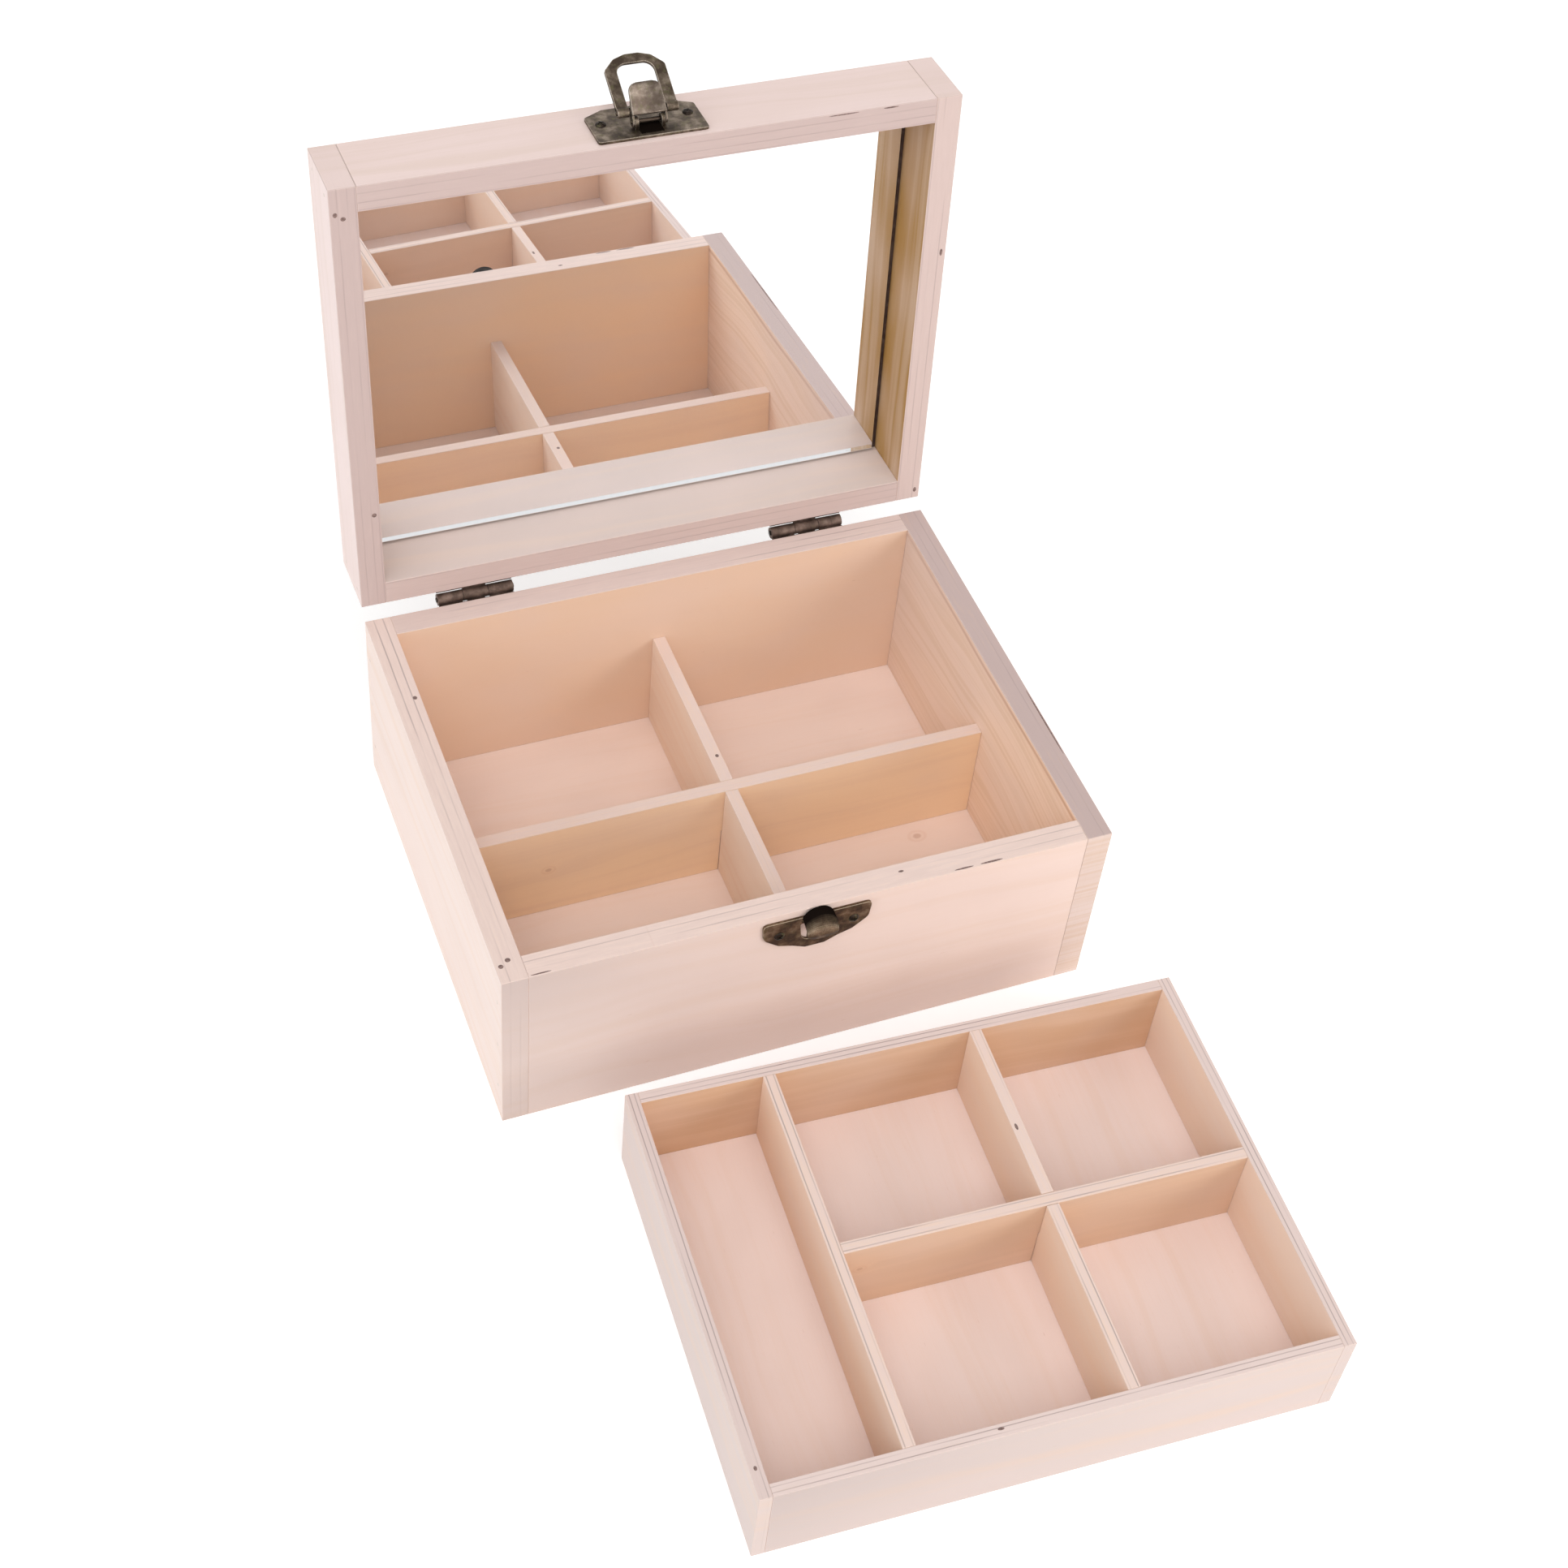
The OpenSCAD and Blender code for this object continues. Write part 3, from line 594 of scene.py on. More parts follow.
class Shade(Tree):
    """A material with one Principled shader, and what its colours are mixed from."""

    def __init__(self, name: str) -> None:
        """Makes the material with its output and its shader.

        Args:
            name: The material's name.
        """
        self.material = bpy.data.materials.new(name)
        self.material.use_nodes = True
        super().__init__(self.material.node_tree)
        self.skin = self.node("ShaderNodeBsdfPrincipled")
        self.output = self.node("ShaderNodeOutputMaterial", {"Surface": self.skin.outputs[0]})

    def attribute(self, name: str) -> tuple[Value, ...]:
        """The three numbers of a mesh attribute."""
        vector = self.out("ShaderNodeAttribute", output="Vector", attribute_name=name)
        return tuple(Value(self, part) for part in self.node("ShaderNodeSeparateXYZ", {"Vector": vector}).outputs)

    def here(self) -> Value:
        """Object coordinates."""
        return self.out("ShaderNodeTexCoord", output="Object")

    def noise(self, vector: Value, scale: float = 1.0, detail: float = 2.0, rough: float = 0.5) -> Value:
        """A noise value from 0 to 1.

        Args:
            vector: Where it is read.
            scale: Its frequency.
            detail: Its octaves.
            rough: How strong the finer octaves are.

        Returns:
            The value.
        """
        inputs = {"Vector": vector, "Scale": scale, "Detail": detail, "Roughness": rough}
        return self.out("ShaderNodeTexNoise", inputs, "Fac")

    def step(self, value: Value, low: float, high: float) -> Value:
        """A smooth step from 0 at low to 1 at high; low may be the larger one.

        Args:
            value: What is stepped.
            low: Where the step is 0.
            high: Where it is 1.

        Returns:
            The step.
        """
        ends = (low, high, 0.0, 1.0) if low < high else (high, low, 1.0, 0.0)
        inputs = dict(zip(("From Min", "From Max", "To Min", "To Max"), ends))
        return self.out("ShaderNodeMapRange", {"Value": value, **inputs}, interpolation_type="SMOOTHSTEP")

    def mix(self, share: object, first: object, second: object) -> Value:
        """A blend of two colours: a share of 0 gives the first and 1 the second."""
        return self.out("ShaderNodeMix", {0: share, 6: first, 7: second}, 2, data_type="RGBA")

    def finished(
        self, inputs: Inputs, relief: Value | None = None, strength: float = 0.0, distance: float = 0.0
    ) -> Material:
        """Sets the shader's inputs and its bump.

        Args:
            inputs: Values or constants by the input's name.
            relief: The bump's height, where there is one.
            strength: How much of it shows.
            distance: Its height in metres.

        Returns:
            The material.
        """
        for key, value in inputs.items():
            self.put(self.skin.inputs[key], value)
        if relief is not None:
            bump = self.out("ShaderNodeBump", {"Height": relief, "Strength": strength, "Distance": distance})
            self.put(self.skin.inputs["Normal"], bump)
        return self.material


# --- Finishes ---


@dataclass(frozen=True)
class WoodFinish:
    """Bare sanded plywood with pale veneers: its faces, its cut edges and the glue lines between its layers."""

    name: str
    outer: Colour = linear(241, 220, 210)
    inner: Colour = linear(237, 207, 184)
    edge: Colour = linear(228, 204, 194)
    streak: Colour = linear(234, 200, 172)
    glue: Colour = linear(172, 150, 146)
    tan: Colour = linear(206, 160, 118)
    # Painted shade: the grey tone that faces darken to, towards one end of a board and towards its top
    painted_shade: Colour = linear(196, 178, 172)
    grey: Colour = linear(186, 164, 160)
    crack: Colour = linear(150, 116, 106)
    pore: Colour = linear(190, 146, 118)
    knot_ring: Colour = linear(204, 150, 116)
    knot_heart: Colour = linear(186, 140, 116)
    worn: Colour = linear(214, 194, 186)
    # The colour of a tan line along an inner face, a little below its top
    stain: Colour = linear(188, 136, 98)
    lines: tuple[float, ...] = (0.3, 0.66)
    line_width: float = 0.032
    line_strength: float = 0.5
    figure: float = 0.5
    fine: float = 0.0
    tan_line_at: float = 0.0
    roughness: float = 0.54
    relief: float = 0.00012

    def material(self) -> Material:
        """Builds the wood from each board's own coordinates.

        The attribute "grain" holds millimetres along, across and through the board, "timber" the board's seed,
        thickness and share of tan on its inner face, "dusk" how grey its cut edges are and how much painted shade
        darkens its faces, "side" whether a face is an inner one, a cut edge or a worn arris, and "knot" the place and
        radius of the board's knot.

        Returns:
            The material.
        """
        s = Shade(self.name)
        along, across, through = s.attribute("grain")
        seed, thick, tanned = s.attribute("timber")
        inner, edge, worn = s.attribute("side")
        knot_along, knot_across, knot_radius = s.attribute("knot")
        dusk, painted_shade, _ = s.attribute("dusk")
        offset = seed * 37.7

        # The knot bends the grain round it
        to_knot = s.join(along - knot_along, across - knot_across, 0.0)
        oval = s.out("ShaderNodeVectorMath", {0: to_knot, 1: (0.75, 1.0, 1.0)}, operation="MULTIPLY")
        away = s.out("ShaderNodeVectorMath", {0: oval}, "Value", operation="LENGTH")
        away = away / s.maths("MAXIMUM", knot_radius, 0.01)
        bent = across + s.step(away, 3.2, 0.6) * 2.6

        # Broad tone, growth streaks, fine fibres
        drift = s.noise(s.join(along * 0.008, bent * 0.03, offset))
        waved = bent + (drift - 0.5) * 22.0
        rings = s.noise(s.join(along * 0.0035, waved * 0.16, offset), detail=3.0, rough=0.6)
        fibres = s.noise(s.join(along * 0.09, bent * 3.2, through + offset), detail=4.0, rough=0.65)
        cloud = s.noise(s.join(along * 0.03, across * 0.05, offset), detail=1.0)

        face = s.mix(inner, self.outer, s.mix(tanned, self.inner, self.tan))
        face = s.mix(s.step(rings, 0.42, 0.72) * self.figure, face, self.streak)
        face = s.mix(s.step(cloud, 0.3, 0.8) * 0.25, face, self.edge)
        if self.fine:
            stripes = s.noise(s.join(along * 0.004, waved * 0.5, offset))
            face = s.mix(s.step(stripes, 0.45, 0.65) * self.fine, face, self.streak)
            # A tan line along the inner face, a little below the top arris
            gap = s.maths("ABSOLUTE", across + (cloud - 0.5) * 1.6 - self.tan_line_at)
            face = s.mix(s.step(gap, 1.2, 0.2) * (inner * 0.55), face, self.stain)
        # Painted shade: the faces darken towards a grey tone, more at one end of the board and towards its top
        face = s.mix(painted_shade * painted_shade, face, self.painted_shade)

        # Cut edges: a paler, greyer wood with the glue lines of the layers, broken here and there
        cut = s.mix(s.step(fibres, 0.35, 0.7) * 0.35, self.edge, self.outer)
        cut = s.mix(dusk, cut, self.grey)
        length = along + across
        shake = s.noise(s.join(length * 0.06, offset, 0.0), detail=3.0)
        share = through / s.maths("MAXIMUM", thick, 0.1) + (shake - 0.5) * 0.05
        line: Value | None = None
        for number, place in enumerate(self.lines):
            gap = s.maths("ABSOLUTE", share - place)
            fade = s.noise(s.join(length * 0.018, offset, 3.0 + number))
            one = s.step(gap, self.line_width, self.line_width * 0.3) * s.step(fade, 0.36, 0.62)
            line = one if line is None else s.maths("MAXIMUM", line, one)
        cut = s.mix(line * self.line_strength, cut, self.glue)
        crack = s.noise(s.join(length * 0.07, share * 3.0, offset), detail=3.0)
        cut = s.mix(s.step(crack, 0.69, 0.76) * line * 0.7, cut, self.crack)

        # Fibres, pores, the knot and a trace of grey on the arrises
        pores = s.noise(s.join(along * 0.22, across * 1.7, offset + 9.0), detail=1.0)
        skin = s.mix(edge, face, cut)
        for amount, tone in (
            (s.step(fibres, 0.5, 0.8) * 0.16, self.streak),
            (s.step(pores, 0.78, 0.86) * 0.3, self.pore),
            (s.step(away, 1.25, 0.95) * s.step(away, 0.45, 0.95) * 0.14, self.knot_ring),
            (s.step(away, 0.62, 0.3) * 0.42, self.knot_heart),
            (worn * 0.3, self.worn),
        ):
            skin = s.mix(amount, skin, tone)
        return s.finished(
            {"Base Color": skin, "Roughness": fibres * 0.16 + self.roughness, "Specular IOR Level": 0.3},
            fibres * 0.7 + line * -0.6 + rings * 0.5, 0.35, self.relief,
        )


@dataclass(frozen=True)
class BronzeFinish:
    """Pressed steel with an aged bronze coat, worn to a warm grey on its edges, and a matte near-black where "side"
    marks painted shade, with dark oxide where the hook meets its plate.
    """

    name: str
    dark: Colour = linear(70, 58, 48)
    middle: Colour = linear(112, 98, 84)
    bright: Colour = linear(172, 158, 144)
    olive: Colour = linear(104, 100, 70)
    # Matte near-black: painted shade, and dark oxide where the hook meets its plate
    painted_shade_and_oxide: Colour = linear(22, 16, 13)
    roughness: float = 0.30
    wear: float = 0.5
    relief: float = 0.0001

    def material(self) -> Material:
        """Builds the coat from object coordinates, and from "side" for its painted shade and oxide and its worn
        arrises.

        Returns:
            The material.
        """
        s = Shade(self.name)
        here = s.here()
        hollow, _, worn = s.attribute("side")
        patches = s.noise(here, 260.0, 4.0, 0.6)
        stain = s.noise(here, 620.0, 3.0, 0.6)
        grit = s.noise(here, 4200.0, 2.0, 0.6)
        coat = s.mix(s.step(patches, 0.35, 0.65), self.dark, self.middle)
        coat = s.mix(s.step(stain, 0.5, 0.72) * 0.55, coat, self.olive)
        rub = worn * 0.75 + s.step(patches, 0.5, 0.75) * self.wear
        rub = s.maths("MULTIPLY", rub, s.step(grit, 0.25, 0.6), clamp=True)
        # The first share of "side" paints shade: a matte near-black without metal or shine
        return s.finished(
            {
                "Base Color": s.mix(hollow, s.mix(rub, coat, self.bright), self.painted_shade_and_oxide),
                "Metallic": (1.0 - hollow) * 0.85,
                "Specular IOR Level": 0.5 - hollow * 0.5,
                "Roughness": s.maths("ADD", stain * 0.3, self.roughness + hollow, clamp=True),
            },
            grit * 0.5 + patches, 0.25, self.relief,
        )


@dataclass(frozen=True)
class MirrorFinish:
    """Silvered glass: a clear reflecting face, a faint haze of dust and a ground rim."""

    name: str
    silver: Colour = (0.975, 0.98, 0.99)
    rim: Colour = (0.86, 0.9, 0.89)
    clear: float = 0.006

    def material(self) -> Material:
        """Builds the mirror: "side" marks the ground rim.

        Returns:
            The material.
        """
        s = Shade(self.name)
        _, edge, worn = s.attribute("side")
        ground = s.maths("MAXIMUM", edge, worn)
        haze = s.step(s.noise(s.here(), 60.0, 3.0, 0.6), 0.55, 0.8)
        return s.finished({
            "Base Color": s.mix(ground, self.silver, self.rim),
            "Metallic": 0.95 - ground * 0.85,
            "Roughness": self.clear + haze * 0.01 + ground * 0.22,
        })


@dataclass(frozen=True)
class PlainFinish:
    """A dull coat of two tones that drift into each other: backing paint, whose edge paints shade into the mirror's
    gaps, foam tape or wood filler.
    """

    name: str
    first: Colour
    second: Colour
    scale: float = 1500.0
    ends: Flat = (0.35, 0.65)
    roughness: float = 0.8
    strength: float = 0.3
    relief: float = 0.0001

    def material(self) -> Material:
        """Builds the coat from object coordinates.

        Returns:
            The material.
        """
        s = Shade(self.name)
        film = s.noise(s.here(), self.scale, 3.0, 0.6)
        tone = s.mix(s.step(film, *self.ends), self.first, self.second)
        return s.finished({"Base Color": tone, "Roughness": self.roughness}, film, self.strength, self.relief)


@dataclass(frozen=True)
class Finishes:
    """Every finish of the part, built once."""

    wall: Material
    front_wall: Material
    right_wall: Material
    lid_wall: Material
    divider: Material
    panel: Material
    tray_floor: Material
    tray_wall: Material
    tray_divider: Material
    bronze: Material
    catch: Material
    hinge: Material
    lever: Material
    dark_bronze: Material
    mirror: Material
    backing_and_gap_shade: Material
    tape: Material
    filler: Material
    flaw: Material

    @staticmethod
    def build() -> "Finishes":
        """Makes all the materials.

        Returns:
            The finishes.
        """
        wood = WoodFinish("wall_plywood", line_width=0.038, line_strength=0.75, figure=0.3)
        panel = WoodFinish("panel_plywood", linear(240, 218, 204), linear(245, 224, 214), lines=(0.5,), figure=0.2)
        tray_inner = linear(237, 211, 191)
        looks = {
            "wall": wood,
            "front_wall": WoodFinish("front_plywood", linear(246, 222, 211), linear(247, 207, 166), figure=0.25),
            "right_wall": WoodFinish(
                "right_plywood", inner=linear(246, 216, 194), streak=linear(222, 186, 150),
                figure=0.3, fine=0.4, tan_line_at=68.6,
            ),
            "lid_wall": WoodFinish(
                "lid_plywood", linear(239, 217, 211), linear(206, 189, 182), streak=linear(220, 196, 178),
                tan=linear(155, 112, 46), lines=(0.06, 0.34, 0.7), figure=0.3,
            ),
            "divider": WoodFinish(
                "divider_plywood", wood.inner, linear(246, 225, 207), tan=linear(250, 219, 185),
                lines=(0.5,), line_strength=0.12, figure=0.35,
            ),
            "panel": panel,
            "tray_floor": replace(panel, name="tray_floor_plywood", inner=linear(249, 231, 226)),
            "tray_wall": WoodFinish(
                "tray_plywood", linear(217, 199, 192), tray_inner, linear(226, 205, 198), glue=linear(134, 114, 112),
                lines=(0.3, 0.72), line_width=0.06, line_strength=0.6, figure=0.3,
            ),
            "tray_divider": WoodFinish(
                "tray_divider_plywood", wood.inner, tray_inner, glue=linear(150, 134, 130),
                lines=(0.2, 0.8), line_width=0.07, line_strength=0.65, figure=0.4,
            ),
            "bronze": BronzeFinish("aged_bronze_coat"),
            "catch": BronzeFinish(
                "olive_bronze_coat", linear(70, 54, 42), linear(118, 97, 76), linear(178, 162, 140),
                linear(112, 100, 70),
            ),
            "hinge": BronzeFinish(
                "dull_bronze_coat", linear(84, 68, 60), linear(118, 98, 88), linear(148, 130, 118),
                linear(106, 90, 76), roughness=0.43, wear=0.3,
            ),
            "lever": BronzeFinish("rubbed_bronze_coat", linear(98, 84, 74), linear(134, 120, 108), wear=0.8),
            "dark_bronze": BronzeFinish(
                "dark_bronze_coat", linear(32, 25, 21), linear(56, 45, 38), linear(100, 84, 72), wear=0.2
            ),
            "mirror": MirrorFinish("mirror_silver"),
            # Dark backing paint; its edge past the glass is painted shade in the gaps beside the mirror
            "backing_and_gap_shade": PlainFinish(
                "backing_paint", linear(50, 34, 28), linear(74, 60, 54), 400.0, (0.4, 0.7), 0.6, 0.2
            ),
            "tape": PlainFinish(
                "foam_tape", linear(238, 236, 228), linear(220, 214, 200), 900.0, (0.4, 0.7), 0.7, relief=0.0002
            ),
            "filler": PlainFinish("wood_filler", linear(233, 217, 206), linear(206, 186, 174)),
            "flaw": PlainFinish("dark_pin_knots", linear(146, 120, 112), linear(104, 82, 78)),
        }
        return Finishes(**{key: look.material() for key, look in looks.items()})


# --- Meshes and pieces ---


def finish_piece(name: str, mesh: Mesh, material: Material, slot: Slot, body: Body, *nodes: str) -> Object:
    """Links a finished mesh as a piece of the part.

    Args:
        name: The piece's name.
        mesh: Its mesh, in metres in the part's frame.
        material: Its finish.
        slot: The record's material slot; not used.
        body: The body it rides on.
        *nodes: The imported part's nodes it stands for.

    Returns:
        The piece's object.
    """
    mesh.name = name
    mesh.materials.clear()
    mesh.materials.append(material)
    piece = bpy.data.objects.new(name, mesh)
    bpy.context.scene.collection.objects.link(piece)
    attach(piece, body.value)
    if nodes:
        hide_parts(*nodes)
    log.info("piece %s: %d faces on %s", name, len(mesh.polygons), body.value)
    return piece


def dress_node(name: str, material: Material, slot: Slot) -> None:
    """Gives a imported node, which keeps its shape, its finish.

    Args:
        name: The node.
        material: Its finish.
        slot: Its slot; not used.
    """
    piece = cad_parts[name]
    piece.data.materials.clear()
    piece.data.materials.append(material)


def as_mesh(bm: BMesh, place: Matrix) -> Mesh:
    """A bmesh in millimetres, which is freed, as a mesh in its place.

    Args:
        bm: The bmesh.
        place: The matrix from its frame to the part's.

    Returns:
        The mesh.
    """
    mesh = bpy.data.meshes.new("work")
    bm.to_mesh(mesh)
    bm.free()
    mesh.transform(place)
    mesh.update()
    return mesh


def mark_sides(bm: BMesh, rule: Callable[[BMFace], Point]) -> None:
    """Writes the face attribute "side": how much a face is an inner one (on metal, painted shade and oxide), a cut
    edge and a worn arris.

    Args:
        bm: The bmesh.
        rule: Gives a face's three shares.
    """
    layer = bm.faces.layers.float_vector["side"]
    for face in bm.faces:
        face[layer] = rule(face)


def new_bmesh(source: Mesh | None = None) -> BMesh:
    """A bmesh that already has its "side" layer, because a new layer loses the faces that were kept before it.

    Args:
        source: A mesh to start from.

    Returns:
        The bmesh.
    """
    bm = bmesh.new()
    if source is not None:
        bm.from_mesh(source)
    bm.faces.layers.float_vector.new("side")
    return bm


def tube(bm: BMesh, rings: Sequence[Sequence[BMVert]]) -> Iterator[tuple[int, BMFace]]:
    """Closes a row of equal rings to a solid.

    Args:
        bm: The bmesh.
        rings: The rings, from one end to the other.

    Yields:
        Each face of the skin, with its number in its ring; the caller says which ones are smooth.
    """
    size = len(rings[0])
    for first, last in itertools.pairwise(rings):
        for k in range(size):
            yield k, bm.faces.new((first[k], first[(k + 1) % size], last[(k + 1) % size], last[k]))
    bm.faces.new(rings[0][::-1])
    bm.faces.new(rings[-1])
    bmesh.ops.recalc_face_normals(bm, faces=bm.faces[:])


def round_arrises(bm: BMesh, width: float, segments: int) -> set[BMFace]:
    """Rounds every sharp edge.

    Args:
        bm: The bmesh.
        width: The rounding's width in millimetres.
        segments: Its number of steps.

    Returns:
        The faces of the roundings.
    """
    sharp = [e for e in bm.edges if len(e.link_faces) == 2 and e.calc_face_angle() > SHARP]
    made = bmesh.ops.bevel(
        bm, geom=sharp, offset=width, offset_type="OFFSET", segments=segments, profile=0.5,
        affect="EDGES", clamp_overlap=True,
    )
    return set(made["faces"])


@dataclass(frozen=True)
class Knot:
    """A small knot in a board's face, in millimetres along and across the board."""

    along: float = -900.0
    across: float = -900.0
    radius: float = 1.0


@dataclass(frozen=True)
class Board:
    """A board with square edges, less the rebates and halvings cut into it, in its sub-assembly's frame."""

    name: str
    node: str
    low: Point
    high: Point
    grain: Along
    through: Along
    outward: int
    seed: float
    cuts: tuple[Cut, ...] = ()
    tan: float = 0.15
    dusk: float = 0.0
    # Painted shade on the faces: how much at the board's start and end along its grain, and on its starting end face
    painted_shade: Flat = (0.0, 0.0)
    end_painted_shade: float = 0.0
    end_lines: float = 0.3
    knot: Knot = Knot()
    arris: float = 0.22

    def solid(self) -> BMesh:
        """The board from the cells between the planes of its faces and of its cuts, with square edges.

        Returns:
            The closed bmesh with its flat faces merged.
        """
        planes = [
            sorted({low, high, *(min(max(end, low), high) for end in ends)})
            for low, high, *ends in zip(self.low, self.high, *(corner for cut in self.cuts for corner in cut))
        ]
        counts = [len(marks) - 1 for marks in planes]
        bm = new_bmesh()
        for name in ("grain", "timber", "knot", "dusk"):
            bm.verts.layers.float_vector.new(name)
        corners: dict[tuple[int, ...], BMVert] = {}

        def filled(cell: Sequence[int]) -> bool:
            """Whether a cell is wood.

            Args:
                cell: Its numbers along the three axes.

            Returns:
                True where no cut takes it.
            """
            if any(c < 0 or c >= n for c, n in zip(cell, counts)):
                return False
            middle = [(marks[c] + marks[c + 1]) / 2 for marks, c in zip(planes, cell)]
            return not any(all(lo[a] < middle[a] < hi[a] for a in range(3)) for lo, hi in self.cuts)

        def corner(at: tuple[int, ...]) -> BMVert:
            """The vertex where three planes meet.

            Args:
                at: The planes' numbers.

            Returns:
                The vertex, made once.
            """
            if at not in corners:
                corners[at] = bm.verts.new([marks[c] for marks, c in zip(planes, at)])
            return corners[at]

        cells = filter(filled, itertools.product(*map(range, counts)))
        for cell, axis, way in itertools.product(cells, range(3), (0, 1)):
            beside = [c + (2 * way - 1) * (a == axis) for a, c in enumerate(cell)]
            if filled(beside):
                continue
            ring = []
            for u, v in ((0, 0), (1, 0), (1, 1), (0, 1)):
                at = list(cell)
                at[axis] += way
                at[(axis + 1) % 3] += u
                at[(axis + 2) % 3] += v
                ring.append(corner(tuple(at)))
            bm.faces.new(ring if way else ring[::-1])
        bmesh.ops.dissolve_limit(bm, angle_limit=0.01, verts=bm.verts[:], edges=bm.edges[:])
        return bm

    def mesh(self, place: Matrix) -> Mesh:
        """The board with rounded arrises and the attributes that its finish reads.

        Args:
            place: The matrix from the board's frame to the part's.

        Returns:
            The mesh.
        """
        bm = self.solid()
        rounded = round_arrises(bm, self.arris, 2)
        g, t = self.grain.value, self.through.value
        c = 3 - g - t
        size = [high - low for low, high in zip(self.low, self.high)]
        layers = bm.verts.layers.float_vector
        grain, timber, knot, dusk = (layers[name] for name in ("grain", "timber", "knot", "dusk"))
        first, last = self.painted_shade
        for vert in bm.verts:
            at = [vert.co[a] - self.low[a] for a in range(3)]
            share, height = at[g] / size[g], at[c] / size[c]
            # Painted shade: from the first value to the last along the grain, the end value on the starting end face,
            # growing towards the top
            painted_shade = self.end_painted_shade if share < 1e-5 and self.end_painted_shade else first + (last - first) * share
            vert[grain] = (at[g], at[c], at[t] if self.outward > 0 else self.high[t] - vert.co[t])
            vert[timber] = (self.seed, size[t], self.tan)
            vert[knot] = (self.knot.along, self.knot.across, self.knot.radius)
            vert[dusk] = (self.dusk, painted_shade * (0.65 + 0.35 * height), 0.0)

        def side(face: BMFace) -> Point:
            """The shares of a face: the rounded ones are worn, the ends show a few layers, the edges all of them.

            Args:
                face: A face.

            Returns:
                Its shares.
            """
            facing = face.normal[t] * (self.outward or 1)
            if face in rounded:
                return 0.5, 0.6, 1.0
            if abs(face.normal[g]) > SQUARE_ON:
                return 0.0, self.end_lines, 0.0
            if abs(facing) > SQUARE_ON:
                return (0.0 if facing > 0 and self.outward else 1.0), 0.0, 0.0
            return 0.0, 1.0, 0.0

        mark_sides(bm, side)
        return as_mesh(bm, place)


@dataclass(frozen=True)
class WallLook:
    """What sets one wall of a frame apart from the other three."""

    seed: float
    tan: float
    dusk: float
    # Painted shade of the wall's faces at its start and end along its grain, and on its starting end face
    painted_shade: Flat = (0.0, 0.0)
    end_painted_shade: float = 0.0


# --- Pressed metal ---


def arc(centre: Flat, radius: float, start: float, end: float, steps: int) -> list[Flat]:
    """Points on an arc.

    Args:
        centre: Its centre.
        radius: Its radius.
        start: The first point's angle in degrees.
        end: The last point's angle.
        steps: How many points less one.

    Returns:
        The points.
    """
    angles = (math.radians(start + (end - start) * i / steps) for i in range(steps + 1))
    return [(centre[0] + radius * math.cos(a), centre[1] + radius * math.sin(a)) for a in angles]


def smooth_corners(points: Sequence[Flat], radii: Sequence[float], steps: int = 5) -> list[Flat]:
    """A closed outline with each corner rounded by its own radius.

    Args:
        points: The corners.
        radii: A radius for each, 0 for a sharp one.
        steps: Points on each rounding less one.

    Returns:
        The rounded outline.
    """
    made: list[Flat] = []
    for i, radius in enumerate(radii):
        here = Vector(points[i])
        before = Vector(points[i - 1]) - here
        after = Vector(points[(i + 1) % len(points)]) - here
        if radius <= 0:
            made.append(tuple(here))
            continue
        half = before.angle(after) / 2
        cut = min(radius / math.tan(half), before.length * 0.49, after.length * 0.49)
        first = here + before.normalized() * cut
        last = here + after.normalized() * cut
        for share in (k / steps for k in range(steps + 1)):
            made.append(tuple(first * (1 - share) ** 2 + here * (2 * share * (1 - share)) + last * share ** 2))
    return made


def pressing(outline: Sequence[Flat], holes: Sequence[Sequence[Flat]], thick: float, arris: float) -> BMesh:
    """A flat pressing with rounded arrises, drawn in X and Y and centred on Z.

    Args:
        outline: Its outer outline.
        holes: The outlines of its holes.
        thick: Its thickness.
        arris: The width of the rounding of its edges.

    Returns:
        The closed bmesh.
    """
    curve = bpy.data.curves.new("work", "CURVE")
    curve.dimensions = "2D"
    curve.fill_mode = "BOTH"
    curve.extrude = thick / 2 - arris
    curve.bevel_depth = arris
    curve.bevel_resolution = 2
    curve.offset = -arris
    for loop in (outline, *holes):
        spline = curve.splines.new("POLY")
        spline.points.add(len(loop) - 1)
        for point, (x, y) in zip(spline.points, loop):
            point.co = (x, y, 0, 1)
        spline.use_cyclic_u = True
    holder = bpy.data.objects.new("work", curve)
    mesh = bpy.data.meshes.new_from_object(holder)
    bm = new_bmesh(mesh)
    bpy.data.objects.remove(holder)
    bpy.data.curves.remove(curve)
    bpy.data.meshes.remove(mesh)
    bmesh.ops.remove_doubles(bm, verts=bm.verts[:], dist=1e-4)
    bmesh.ops.recalc_face_normals(bm, faces=bm.faces[:])
    mark_sides(bm, lambda face: (0.0, 0.0, 1.0 if 0.05 < abs(face.normal.z) < 0.98 else 0.0))
    return bm


